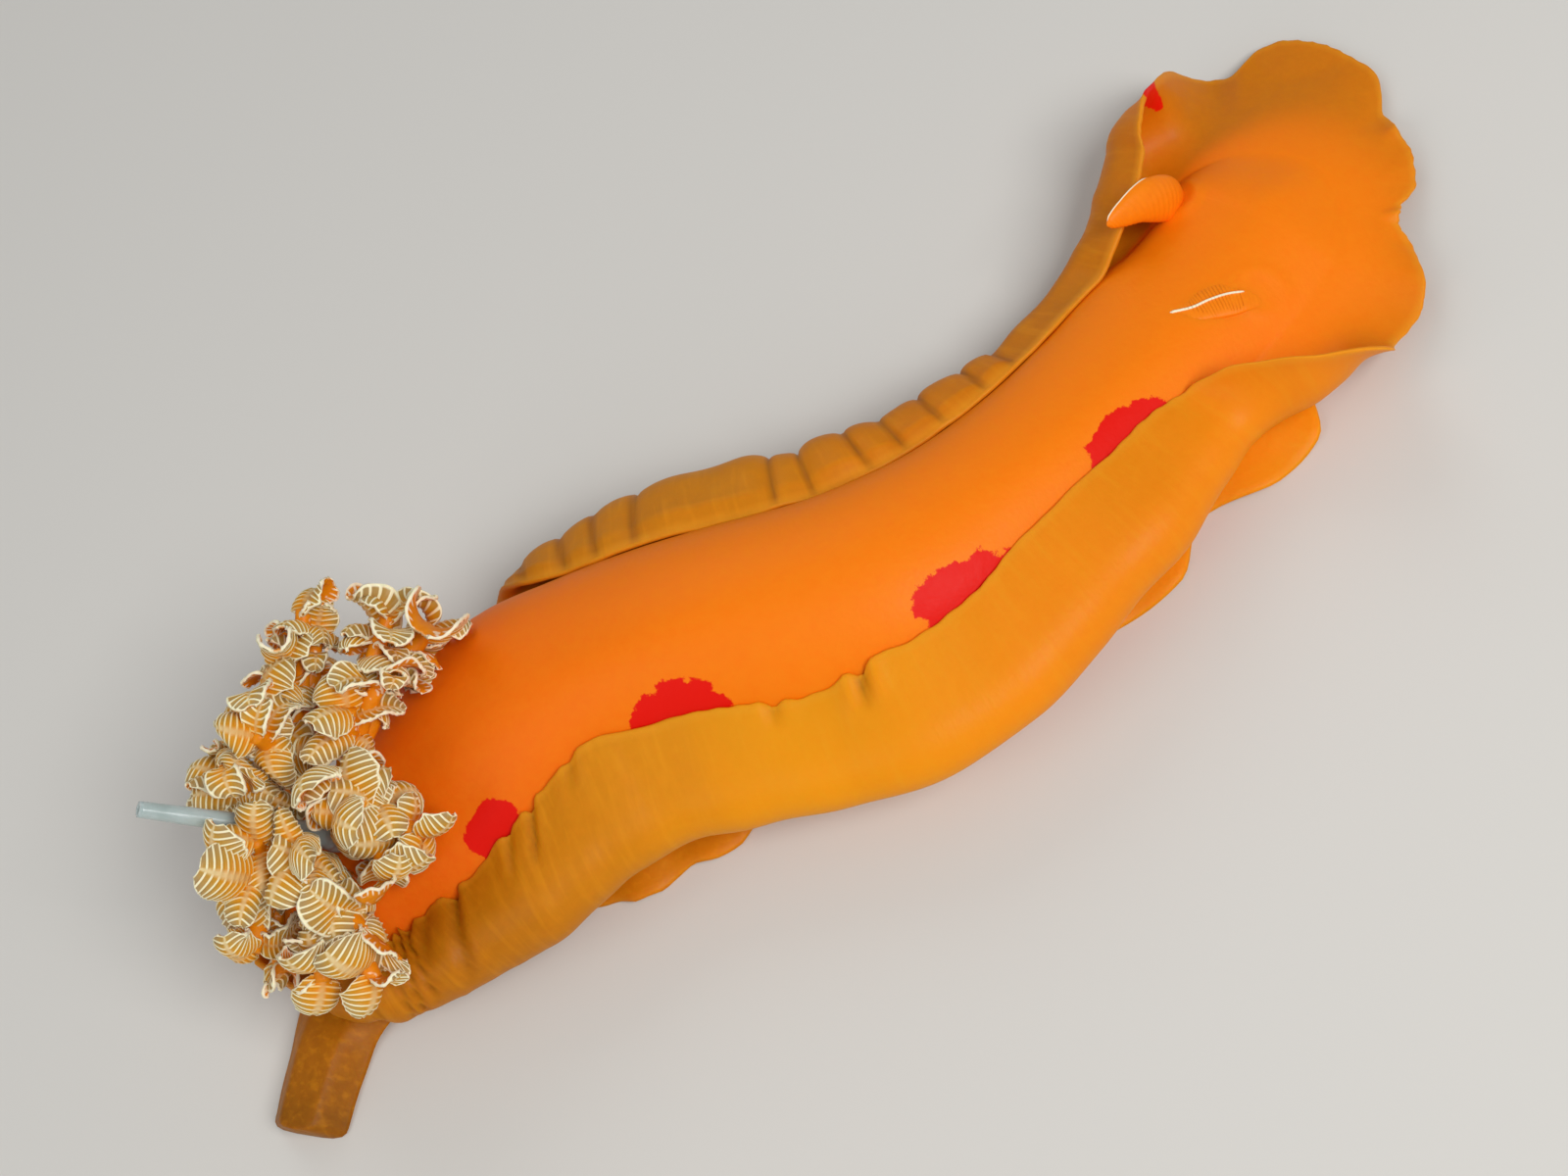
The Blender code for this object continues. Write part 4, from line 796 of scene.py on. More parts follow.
streak_map = np.stack(np.broadcast_arrays(
    edge_radius * np.cos(turn_round), edge_radius * np.sin(turn_round), across_skirt), -1)
values = {
    "from_rim": with_foot(from_rim, FAR),
    "under": with_foot(under, 1.0),
    "skirt": with_foot(skirt, 1.0),
    "foot": with_foot(0.0, 1.0),
    "crease_shade": with_foot(crease_shade, 0.0),
    "red": with_foot(spot, NO_SPOT),
    "shade": with_foot(spokes(stations)[2][:, None], 0.5),
    # The skirt's yellow with its painted shade, and on the foot its share along it, which darkens the tail as
    # painted shade
    "clear": with_foot(ring(CLEAR_AND_LIT, stations)[:, None], (np.clip(foot_share, 0, 1) ** 0.6)[:, None]),
    "streak_map": np.concatenate([streak_map.reshape(-1, 3), foot_lines.reshape(-1, 3) + FOOT_MAP]),
}

old_points = np.concatenate([section_points.reshape(-1, 3), foot_lines.reshape(-1, 3)])
tree_of_points = KDTree(len(old_points))
for number, point in enumerate(old_points.tolist()):
    tree_of_points.insert(point, number)
tree_of_points.balance()
new_points = np.zeros(len(skin.data.vertices) * 3)
skin.data.vertices.foreach_get("co", new_points)
source = np.array([tree_of_points.find(point)[1] for point in (new_points.reshape(-1, 3) / MM).tolist()])
for name, kept in values.items():
    keep_on_points(skin, name, kept[source])
print("edge of the skirt:", round(edge_run[-1]), "mm, values kept:", len(values))

# %% [markdown]
# The skin is living tissue under a film of mucus: light enters it, scatters through the orange flesh and
# comes out soft, while the film on top gives small sharp highlights. The colour is deepest on the back,
# where the flesh is thick, and yellower on the skirt. Its spots have ragged edges, as if brushed on with a
# dry brush, because the pigment lies in separate cells.

# %% Wet skin of the dancer
# Mucus-coated living skin, pigmented in cells about 0.3 mm across: soft glow below, wet glints above
wet_skin, tree = start_material("wet_mucous_skin")
read = {name: add_node(tree, "Attribute", attribute_name=name).outputs for name in values}
kind = {name: sockets["Fac"] for name, sockets in read.items()}
streaks = read["streak_map"]["Vector"]
position = add_node(tree, "TexCoord").outputs["Object"]
# Patterns: waves of the noise in metres, how many finer octaves it has, and how strong those are
NOISES = {
    "cloud": (0.018, 2.0, 0.5),         # soft clouds of colour
    "mottle": (0.0016, 4.0, 0.7),       # mottled pigment
    "cells": (0.0007, 3.0, 0.5),        # single cells, two to a wave
    "lobed": (0.0036, 1.0, 0.5),        # lobes on the edges of the spots
    "ragged": (0.0015, 5.0, 0.75),      # bristle marks on the edges of the spots
}
noise = {name: add_node(tree, "TexNoise", {"Vector": position, "Scale": 1 / wave, "Detail": detail,
                                           "Roughness": rough}).outputs["Fac"]
         for name, (wave, detail, rough) in NOISES.items()}
# Streaks across the skirt, 1.1 mm apart and about 7 mm long
stretched = add_node(tree, "Mapping", {"Vector": streaks, "Scale": (1 / 1.1, 1 / 1.1, 1 / 7.0)})
streak = add_node(tree, "TexNoise", {"Vector": stretched.outputs["Vector"], "Scale": 1.0, "Detail": 2.0,
                                     "Distortion": 0.3}).outputs["Fac"]

# Shares: what each follows, from where to where, and what it is at either end
SHARES = {
    "mottle": (noise["mottle"], 0.35, 0.75, 0, 0.12),
    "streak": (streak, 0.5, 0.8, 0, 0.28),
    "rim": (kind["from_rim"], 0.2, 1.0, 0.35, 0),
    "gloss": (noise["mottle"], 0.3, 0.7, 0.5, 0.62),
}
share = {name: add_node(tree, "MapRange", {"Value": source, 1: low, 2: high, 3: first, 4: last}).outputs[0]
         for name, (source, low, high, first, last) in SHARES.items()}
# The back is redder and darker at the rear, and the skirt's underside is yellow there and orange at the front
for name, low, high in [("rear", 0.0, 0.5), ("front", 0.42, 0.66)]:
    share[name] = add_node(tree, "MapRange", {"Value": kind["shade"], 1: low, 2: high},
                           interpolation_type="SMOOTHSTEP").outputs[0]
# Sums and products: what is worked on, with what, and the way
SUMS = {
    "cloudy_and_lit": (noise["cloud"], 0.3, kind["clear"], "MULTIPLY_ADD"),
    "streak_there": (share["streak"], kind["under"], 0, "MULTIPLY"),
    "crease_shade": (kind["crease_shade"], 0.55, 0, "MULTIPLY"),
    # The spots' distance field is roughened by the two noises before it is cut
    "bristled": (noise["ragged"], 1.9, kind["red"], "MULTIPLY_ADD"),
    "relief": (streak, kind["under"], noise["cells"], "MULTIPLY_ADD"),
}
summed = {name: add_node(tree, "Math", {0: a, 1: b, 2: c}, operation=way).outputs[0]
          for name, (a, b, c, way) in SUMS.items()}
under_share = add_node(tree, "Math", {0: summed["cloudy_and_lit"], 1: 0.15}, operation="SUBTRACT").outputs[0]
roughened = add_node(tree, "Math", {0: noise["lobed"], 1: 2.4, 2: summed["bristled"]},
                     operation="MULTIPLY_ADD").outputs[0]
red_share = add_node(tree, "MapRange", {"Value": roughened, 1: 2.16, 2: 2.3}).outputs[0]

# Tones laid over each other in turn: the share of the second tone, and the two, each a hex colour or one
# from a row above
TONES = [
    ("back", share["rear"], "f46b01", "ff8001"),
    # The veil: dark ochre where the skirt's yellow is dull, partly its own ochre and partly painted shade on
    # the left
    ("veil", kind["clear"], "b56e02", "ef7e02"),
    ("upper", kind["skirt"], "back", "veil"),
    # Underside of the skirt on the rolls: ochre to clear yellow orange in soft clouds, dulled by painted
    # shade
    ("clear_roll", share["front"], "f59a04", "fb8c03"),
    ("roll", under_share, "b46a03", "clear_roll"),
    # Foot: dark ochre at the tail, partly its own tone and partly painted shade, to orange yellow at the
    # front
    ("foot", kind["clear"], "8c5203", "fb9306"),
    ("lower", kind["foot"], "roll", "foot"),
    ("flesh", kind["under"], "upper", "lower"),
    ("speckled", share["mottle"], "flesh", "ffa01c"),
    ("streaked", summed["streak_there"], "speckled", "f2a018"),
    # Painted shade in the creases: a thin brown line in each
    ("crease_shaded", summed["crease_shade"], "streaked", "8a4602"),
    # A pale thin line on the very rim, where light passes through
    ("rimmed", share["rim"], "crease_shaded", "f0a022"),
    ("spotted", red_share, "rimmed", "e81100")]
tone = {}
for name, part, low, high in TONES:
    tone[name] = add_node(tree, "Mix", {0: part, 6: tone.get(low, low), 7: tone.get(high, high)},
                          data_type="RGBA").outputs[2]
# Relief: the pigment cells and the streaks, both very low
relief = add_node(tree, "Bump", {"Strength": 0.35, "Distance": 0.00012, "Height": summed["relief"]})
bump = relief.outputs["Normal"]
end_material(tree, {
    "Base Color": tone["spotted"], "Roughness": share["gloss"], "IOR": 1.36, "Specular IOR Level": 0.25,
    "Subsurface Weight": 0.35, "Subsurface Radius": (1.0, 0.35, 0.08), "Subsurface Scale": 0.0025,
    "Coat Weight": 0.08, "Coat Roughness": 0.3, "Coat IOR": 1.34, "Normal": bump, "Coat Normal": bump})
skin.data.materials.clear()
skin.data.materials.append(wet_skin)

SKIN_NODES = ["body_rear", "body_middle", "body_front", "neck", "head", "margin_right_rear",
              "margin_right_middle", "margin_right_front", "veil_right", "veil_left", "margin_left_front",
              "margin_left_middle", "margin_left_rear", "margin_tail", "tail", "foot_rear", "foot_middle",
              "foot_front"]
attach(skin, "root")
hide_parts(*SKIN_NODES)
print("skin stands for", len(SKIN_NODES), "solids")

# %% [markdown]
# Limbs are lofts too: rings set square to a path through a few knots. One helper makes the path and another
# the rings, and everything round below uses them.

# %% Paths and limbs
def smooth_path(knots, count):
    """Points on a smooth curve through a few knots in space."""
    p = np.array(knots, float)
    t = np.linspace(0, len(p) - 1, count)
    i = np.minimum(t.astype(int), len(p) - 2)
    ends = np.vstack([2 * p[0] - p[1], p, 2 * p[-1] - p[-2]])
    return between_knots(*(ends[i + k] for k in range(4)), (t - i)[:, None])


def unit(steps):
    """Steps scaled to length one."""
    return steps / np.maximum(np.linalg.norm(steps, axis=-1, keepdims=True), 1e-9)


def evenly(values, at):
    """Values given at even steps from 0 to 1, read at shares of the way."""
    return np.interp(at, np.linspace(0, 1, len(values)), values)


def read_path(at, known, path):
    """Points of a path at shares of the way, from those known at some shares."""
    return np.stack([np.interp(at, known, path[:, axis]) for axis in range(3)], -1)


def limb_rings(path, radii, sides, flat=1.0, face=(0, 0, 1)):
    """Rings square to a path, squeezed by flat along face, with the directions across and through them."""
    heading = unit(np.gradient(path, axis=0))
    across = np.cross(heading[0], np.array(face, float) + (0.01, 0, 0))
    wide = np.zeros_like(path)
    for r, ahead in enumerate(heading):
        across = across - ahead * across.dot(ahead)
        across = across / np.linalg.norm(across)
        wide[r] = across
    deep = np.cross(wide, heading)
    turn = np.linspace(0, 2 * np.pi, sides, endpoint=False)[:, None]
    circle = wide[:, None] * np.cos(turn) + flat * deep[:, None] * np.sin(turn)
    return path[:, None] + np.asarray(radii, float)[:, None, None] * circle, circle, turn[:, 0]


print("a limb of", smooth_path([(0, 0, 0), (1, 0, 1), (2, 0, 0)], 9).shape[0], "rings is ready")

# %% [markdown]
# A rhinophore is the slug's organ of smell: a flattened club on a short stalk, made of fine plates stacked
# along it, with a pale crest. The left one leans out over the skirt. The right one lies back in its pocket,
# so that little more than its crest shows. The plates are real ridges in the mesh, since they break up the
# gloss, and the crest is a raised ridge whose colour follows a value kept on its points.

# %% The rhinophores
LEFT_CLUB = [(72.2, 13.4, 7.2), (70.8, 12.8, 11.3), (67.4, 12.0, 15.2), (63.6, 11.2, 17.0),
             (60.9, 10.7, 17.9)]
RIGHT_CLUB = [(71.4, -6.7), (68.7, -5.6), (66.7, -4.9), (64.4, -4.4), (62.2, -4.05), (59.4, -2.8)]
LEFT_RADII = [2.0, 2.5, 3.0, 3.1, 2.8, 2.25, 1.7, 1.15, 0.5]
RIGHT_RADII = [1.4, 2.2, 2.7, 2.9, 2.8, 2.5, 2.1, 1.5, 0.6]
RIGHT_SUNK = [(0, -0.9), (0.2, -0.45), (0.85, -0.38), (1, -0.25)]   # mm from the back, along the club
CLUB_RINGS, CLUB_SIDES, SOFTENED = 110, 96, 7               # rings each way over which the radii are softened
CLUB_PLATES, CREST_HALF, CREST_HEIGHT = 20, 0.17, 0.22      # a count, then mm


def rhinophore(lying):
    """Rings of one club, with how much of each point is crest."""
    at = np.linspace(0, 1, CLUB_RINGS)
    # How flat it is, the way its flat face looks, where its crest starts, its plates' height, its top
    if lying:
        plan = smooth_path([(*point, 0) for point in RIGHT_CLUB], CLUB_RINGS)[:, :2]
        sunk = np.interp(at, *zip(*RIGHT_SUNK))
        path = np.concatenate([plan, (back_at(plan) + sunk)[:, None]], 1)
        radii = evenly(RIGHT_RADII, at)
        flat, face, crest_from, ridge, top = 0.26, (0, 0, 1), 0.17, 0.0, math.pi / 2
    else:
        path = smooth_path(LEFT_CLUB, CLUB_RINGS)
        radii = evenly(LEFT_RADII, at)
        flat, face, crest_from, ridge, top = 0.5, (0, -0.5, 0.85), 0.45, 0.05, 0.0
    window = np.ones(2 * SOFTENED + 1) / (2 * SOFTENED + 1)
    radii = np.convolve(np.pad(radii, SOFTENED, mode="edge"), window, "valid")
    radii = radii * np.sqrt(ramp(at, 1, -0.06))
    rings_made, circle, turn = limb_rings(path, radii, CLUB_SIDES, flat, face)
    at = at[:, None]
    fade_out = ramp(at, 1, -0.05)
    off_crest = np.mod(turn[None] - top + np.pi, 2 * np.pi) - np.pi + 0 * at
    plates = (0.5 + 0.5 * np.cos(2 * np.pi * (at * CLUB_PLATES + np.abs(off_crest)))) ** 2
    plates = plates * ramp(np.abs(off_crest), 0.25, 1) * ramp(at, 0.1, 0.1) * fade_out
    crest = bell(off_crest * radii[:, None], CREST_HALF) * ramp(at, crest_from, 0.06) * fade_out
    return rings_made + unit(circle) * (ridge * plates + CREST_HEIGHT * crest)[..., None], crest


def closed_loft(name, lines):
    """A mesh object from rings of points, shut at both ends."""
    made = mesh_object(name, lines, lattice(*lines.shape[:2], close_b=True) + shut_ends(*lines.shape[:2]))
    turn_outwards(made)
    return made


# Thin living plates under mucus: satin orange with a chalk-white crest
club_skin, tree = start_material("wet_rhinophore_plates")
crest_kept = add_node(tree, "Attribute", attribute_name="crest").outputs["Fac"]
position = add_node(tree, "TexCoord").outputs["Object"]
mottle = add_node(tree, "TexNoise", {"Vector": position, "Scale": 1 / 0.0009, "Detail": 3.0}).outputs["Fac"]
crest_share = add_node(tree, "MapRange", {"Value": crest_kept, 1: 0.35, 2: 0.6}).outputs[0]
flesh = add_node(tree, "Mix", {0: mottle, 6: "f67c02", 7: "ff8a08"}, data_type="RGBA").outputs[2]
coloured = add_node(tree, "Mix", {0: crest_share, 6: flesh, 7: "fff4d2"}, data_type="RGBA").outputs[2]
bump = add_node(tree, "Bump", {"Strength": 0.3, "Distance": 0.0001, "Height": mottle}).outputs["Normal"]
end_material(tree, {
    "Base Color": coloured, "Roughness": 0.55, "IOR": 1.36, "Specular IOR Level": 0.25,
    "Subsurface Weight": 0.06, "Subsurface Radius": (1.0, 0.4, 0.1), "Subsurface Scale": 0.001,
    "Coat Weight": 0.08, "Coat Roughness": 0.3, "Normal": bump})

for name in ["rhinophore_left", "rhinophore_right"]:
    lines, crest = rhinophore(name == "rhinophore_right")
    club = closed_loft(name.replace("rhinophore", "rhinophore_club"), lines)
    keep_on_points(club, "crest", crest.ravel())
    club.data.materials.append(club_skin)
    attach(club, "root")
    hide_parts(name)
    print(club.name, "points:", len(club.data.vertices))

# %% [markdown]
# Under the head lie the mouth and a flat lobe on either side of it. They hardly show from above, but a
# reader who turns the model over finds them: lips with fine wrinkles that run into a slit, and lobes with
# soft edges.

# %% Mouth and oral tentacles
front_point, front_heading = (v[0] for v in along(SPINE_PATH, np.array([1.0])))
front_side = np.array([-front_heading[1], front_heading[0]])
LOBE_TURN, LOBE_RINGS, LOBE_SIDES, LOBE_FLAT = 38, 40, 32, 0.38
LOBE_KNOTS = [(7.0, 1.8), (11.0, 1.7), (16.0, 1.6)]         # mm from the spine's front end, and height in mm
LOBE_RADII = [1.2, 2.4, 3.0, 3.0, 2.3, 0.9]
LIP_SIDES, LIP_PLEATS, PLEAT_SIZE = 72, 18, 0.035
MOUTH_AHEAD, MOUTH_LONG, MOUTH_WIDE = 4.9, 2.3, 2.6         # mm from the same place, and half sizes in mm
# Rings of the lips, from the outer one into the slit: share of the half sizes, depth in mm
LIP_RINGS = [(1.0, 0.0), (1.02, 0.5), (0.97, 1.0), (0.85, 1.4), (0.66, 1.62), (0.48, 1.55), (0.32, 1.25),
             (0.2, 0.9), (0.12, 0.6)]


def oral_tentacle(turn):
    """Rings of a short flat lobe beside the mouth."""
    angle = math.atan2(front_heading[1], front_heading[0]) + math.radians(turn)
    way = np.array([math.cos(angle), math.sin(angle)])
    knots = [(*(front_point + way * reach), height) for reach, height in LOBE_KNOTS]
    at = np.linspace(0, 1, LOBE_RINGS)
    radii = evenly(LOBE_RADII, at) * (1 + 0.05 * np.sin(at * 40)) * np.sqrt(ramp(at, 1, -0.05))
    return limb_rings(smooth_path(knots, LOBE_RINGS), radii, LOBE_SIDES, LOBE_FLAT)[0]


def lips():
    """Rings of the lips, from their rim down into the slit."""
    turn = np.linspace(0, 2 * np.pi, LIP_SIDES, endpoint=False)[:, None]
    lines = []
    for reach, depth in LIP_RINGS:
        pleat = reach * (1 + PLEAT_SIZE * np.cos(turn * LIP_PLEATS) * min(1, 3 * depth))
        narrow = 1 - 0.75 * ramp(reach, 0.7, -0.6)
        ahead = MOUTH_AHEAD + MOUTH_LONG * np.cos(turn) * pleat
        aside = MOUTH_WIDE * np.sin(turn) * pleat * narrow
        plan = front_point + ahead * front_heading + aside * front_side
        lines.append(np.concatenate([plan, np.full_like(turn, FOOT_TOP - depth)], 1))
    return np.array(lines)


# Soft wet lips and lobes, ochre and a little translucent, with a fine grain
lip_skin, tree = start_material("wet_lip_skin")
position = add_node(tree, "TexCoord").outputs["Object"]
grain = add_node(tree, "TexNoise", {"Vector": position, "Scale": 1 / 0.0008, "Detail": 3.0}).outputs["Fac"]
ochre = add_node(tree, "Mix", {0: grain, 6: "c06c08", 7: "dc8c18"}, data_type="RGBA").outputs[2]
bump = add_node(tree, "Bump", {"Strength": 0.3, "Distance": 0.0001, "Height": grain}).outputs["Normal"]
end_material(tree, {
    "Base Color": ochre, "Roughness": 0.45, "IOR": 1.38,
    "Subsurface Weight": 0.3, "Subsurface Radius": (1.0, 0.4, 0.1), "Subsurface Scale": 0.0015,
    "Coat Weight": 0.3, "Coat Roughness": 0.25, "Normal": bump})

for name, lines, node in [("oral_lobe_left", oral_tentacle(LOBE_TURN), "oral_tentacle_left"),
                          ("oral_lobe_right", oral_tentacle(-LOBE_TURN), "oral_tentacle_right"),
                          ("mouth_lips", lips(), "mouth")]:
    piece = closed_loft(name, lines)
    piece.data.materials.append(lip_skin)
    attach(piece, "root")
    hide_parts(node)
    print(name, "points:", len(piece.data.vertices))

# %% [markdown]
# The vent's tube stands among the gills. It is a thin-walled tube of pale, almost clear tissue, so it is
# made hollow at its tip and given a shader that lets light through.

# %% The vent's tube
VENT_TIP = (-78.5, 14, 38)
TUBE_RINGS, TUBE_SIDES = 70, 36
TUBE_RADII = [2.5, 2.0, 1.8, 1.6, 1.4, 1.3, 1.2, 1.12, 1.0]
BORE_SHARE, BORE_FROM = 0.62, 46        # the bore's share of the radius, and the ring that it reaches down to
VENT_BASE = np.array([*VENT, float(back_at(np.array([VENT]))[0])])
tube_knee = (VENT[0] - 3, VENT[1] + 0.6, VENT_BASE[2] + 6)
tube_path = smooth_path([VENT_BASE - (0, 0, 0.6), tube_knee, VENT_TIP], TUBE_RINGS)
at = np.linspace(0, 1, TUBE_RINGS)
tube_radii = evenly(TUBE_RADII, at) + 0.05 * np.sin(at * 60) * ramp(at, 1.2, -1)
outer_wall = limb_rings(tube_path, tube_radii, TUBE_SIDES)[0]
inner_wall = limb_rings(tube_path, tube_radii * BORE_SHARE, TUBE_SIDES)[0][BORE_FROM:][::-1]
tube = closed_loft("vent_tube", np.concatenate([outer_wall, inner_wall]))

# Clear wet membrane, thin as film: bluish white at its edges, and the light comes through it
membrane, tree = start_material("clear_wet_membrane")
position = add_node(tree, "TexCoord").outputs["Object"]
haze = add_node(tree, "TexNoise", {"Vector": position, "Scale": 1 / 0.003, "Detail": 3.0}).outputs["Fac"]
film = add_node(tree, "Mix", {0: haze, 6: "a9bdb8", 7: "dfeaea"}, data_type="RGBA").outputs[2]
end_material(tree, {
    "Base Color": film, "Roughness": 0.25, "IOR": 1.36,
    "Transmission Weight": 0.25, "Subsurface Weight": 0.5, "Subsurface Radius": (1.0, 1.0, 1.0),
    "Subsurface Scale": 0.001, "Coat Weight": 0.4, "Coat Roughness": 0.15})
tube.data.materials.append(membrane)
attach(tube, "root")
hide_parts("anal_papilla")
print("vent tube:", round(float(np.linalg.norm(np.diff(tube_path, axis=0), axis=1).sum()), 1), "mm long")

# %% [markdown]
# Six gills stand in a ring round the vent. Each has a short stalk, three branches and two lesser ones, and
# curled leaves along them all. The leaves stay out of each other's way and above the back, because the
# animal breathes through them. So each branch tries many turns of its leaves, keeps the one that lies
# clearest, and any that would dip into the back is lifted off it. Nine large leaves a gill stand where the
# solids have them, and smaller ones fill in between.

# %% Where the gills stand
# Each gill's sector round the vent, in degrees from the head, and the ends of its three main branches in mm
GILLS = {
    "gill_1": (13, 50, [(-45, 21.5, 27), (-39, 20, 24), (-52, 13, 30)]),
    "gill_2": (50, 104, [(-51.5, 27, 28), (-60, 21, 33), (-62.5, 14.5, 35)]),
    "gill_3": (104, 152, [(-68, 16, 32), (-67, 22, 26), (-73, 15, 25)]),
    "gill_4": (-88, 13, [(-55.5, 1, 27), (-53.5, -5, 24), (-58.5, 6.5, 31)]),
    "gill_5": (156, 222, [(-75, 5, 30), (-72.5, 1.5, 29), (-78.5, -3.5, 24)]),
    "gill_6": (222, 272, [(-73.5, -11, 21), (-68, -14.5, 20), (-65, -1.5, 28)]),
}
# More branches that only this script has, to close the crown as far as the living one is closed
CLOSER = {"gill_1": [(-46.5, 15, 28), (-42, 21, 29.5)], "gill_2": [(-56, 24, 31), (-50.5, 29, 31)],
          "gill_3": [(-70.5, 17.5, 27.5), (-66, 12.5, 31)], "gill_4": [(-59.5, 1.5, 30), (-59.8, -7, 24)],
          "gill_5": [(-78.5, -3, 17), (-69.6, 4.6, 31)], "gill_6": [(-64.9, 0.8, 31), (-65.5, -10, 22.5)]}
LEFT_OUT = [("gill_3", 0)]      # a leaf of the solids that would stand out beyond the living crown
# Leaves at the crown's edge that are drawn smaller, for the same reason
SMALLER = {("gill_1", 3): 0.8, ("gill_1", 12): 0.85, ("gill_2", 1): 0.8, ("gill_2", 9): 0.65,
           ("gill_2", 10): 0.8, ("gill_2", 13): 0.7, ("gill_3", 3): 0.65, ("gill_3", 9): 0.7,
           ("gill_4", 3): 0.7, ("gill_4", 13): 0.85, ("gill_5", 9): 0.6, ("gill_5", 11): 0.8,
           ("gill_5", 6): 0.85, ("gill_6", 3): 0.8}
GILL_VALUES = ["plate_phase", "beside_midrib", "leaf_run", "front_face"]    # kept on the points
SEEDS = {"gill_1": 11, "gill_2": 18, "gill_3": 10, "gill_4": 23, "gill_5": 3, "gill_6": 15}
# In mm: between two gills, from the vent to a gill's foot, the softness of a bend away from a neighbour, and
# the room kept round the vent's tube and above the back
GAP, CROWN_BASE, SOFT, TUBE_ROOM, GILL_COVER = 0.3, 6.5, 1.5, 3.4, 0.45
FEELERS = [(0, 0), (0.9, 0), (-0.9, 0), (0, 0.9), (0, -0.9)]    # mm, where the ground below is felt for
SKY = 90                                                        # mm, above everything
LEAF_SIZES = [(7.4, 5.2), (8.2, 5.8), (9.0, 6.4)]       # length along the curl, width
LEAF_SHAPE = [(0, 0.34), (0.3, 0.86), (0.55, 1), (0.8, 0.86), (1, 0.45)]
LEAF_THICK, LEAF_ROOM, LEAF_ROWS, MIDRIB_STEPS = 0.8, 1.7, 5, 40
TRIES, SMALL_TRIES = 40, 14                             # turns tried for the large and the small leaves
TURN_PLAY, CURLS, CUPS = 0.3, (60, 150), (-1.6, 1.2)    # radians, degrees and mm
# Each leaf's distance from a branch's end in mm, and the least and most that it spreads in degrees
LEAF_PLACES = [(0.9, 8, 30), (2.1, 50, 75), (3.4, 50, 75)]
SMALL_SIZES = [(5.2, 3.8), (6.0, 4.4), (6.6, 4.8)]
SMALL_PLACES = [(0.4, 20, 60), (2.8, 60, 95), (4.6, 45, 80)]
LOW_PLACES = [(5.8, 50, 85), (7.2, 45, 80), (8.8, 40, 75)]

ground_points, ground_faces = [], []
for name in frame["nodes"]:
    if not name.startswith(("body", "margin")):
        continue
    start = len(ground_points)
    mesh = frame["nodes"][name].data
    ground_points.extend(v.co / MM for v in mesh.vertices)
    ground_faces.extend([start + i for i in face.vertices] for face in mesh.polygons)
ground = BVHTree.FromPolygons(ground_points, ground_faces)


def bearing(degrees):
    """A unit step on the floor at a bearing from the head."""
    return np.array([math.cos(math.radians(degrees)), math.sin(math.radians(degrees))])


def bent_clear(points, low, high, room_kept=0.0):
    """Points bent into a gill's own sector round the vent, and clear of the vent's tube."""
    points = points.copy()
    for way, sign in ((bearing(low), 1), (bearing(high), -1)):
        normal = sign * np.array([-way[1], way[0]])
        room = (points[..., :2] - VENT) @ normal
        edge = GAP / 2 + 0.05 + SOFT + room_kept
        bent = np.where(room < edge, edge - SOFT + SOFT * np.exp(np.minimum(room - edge, 0) / SOFT), room)
        points[..., :2] += (bent - room)[..., None] * normal
    ahead = np.array(VENT_TIP) - VENT_BASE
    length = np.linalg.norm(ahead)
    ahead /= length
    run = np.clip((points - VENT_BASE) @ ahead, 0, length)
    beside = VENT_BASE + run[..., None] * ahead
    away = points - beside
    far = np.linalg.norm(away, axis=-1, keepdims=True)
    room = TUBE_ROOM + room_kept
    return np.where(far < room, beside + away / np.maximum(far, 0.01) * room, points)


def lifted(points, room):
    """Points raised to leave room above whatever lies under them."""
    flat = points.reshape(-1, 3).copy()
    for point in flat:
        for dx, dy in FEELERS:
            hit = ground.ray_cast(Vector((point[0] + dx, point[1] + dy, SKY)), Vector((0, 0, -1)))[0]
            if hit:
                point[2] = max(point[2], hit.z + room)
    return flat.reshape(points.shape)


def midrib_path(base, way, outward, length, curl):
    """The curled path of a leaf's midrib: shares of the way, points, and how far it leans over at each."""
    fine = np.linspace(0, 1, MIDRIB_STEPS + 1)
    lean = np.radians(curl) * fine ** 1.5
    step = np.cos(lean)[:, None] * way + np.sin(lean)[:, None] * outward
    run = np.cumsum((step[1:] + step[:-1]) / 2, 0) / MIDRIB_STEPS
    return fine, base + length * np.vstack([np.zeros(3), run]), lean


def leaf_sheet(base, way, outward, size, curl, cup):
    """The middle sheet of a leaf, five rows of three points, that curls over outwards."""
    length, width = size
    fine, path, angle = midrib_path(base, way, outward, length, curl)
    t = np.linspace(0, 1, LEAF_ROWS)
    middle = read_path(t, fine, path)[:, None]
    lean = np.interp(t, fine, angle)[:, None]
    facing = (np.sin(lean) * way - np.cos(lean) * outward)[:, None]
    half = width / 2 * follow(LEAF_SHAPE, t)[:, None]
    v = np.array([[-1.0, 0.0, 1.0]])
    bow = cup * v ** 2 * half / width
    return middle + (half * v)[..., None] * np.cross(way, outward) + bow[..., None] * facing


def crowding(sheet, others):
    """How far a leaf comes within the wanted room of the others of its gill."""
    if not others:
        return 0.0
    there = np.concatenate([other[1:].reshape(-1, 3) for other in others])
    apart = np.linalg.norm(sheet[1:].reshape(-1, 1, 3) - there[None], axis=-1)
    return np.clip(LEAF_ROOM - apart, 0, None).sum()


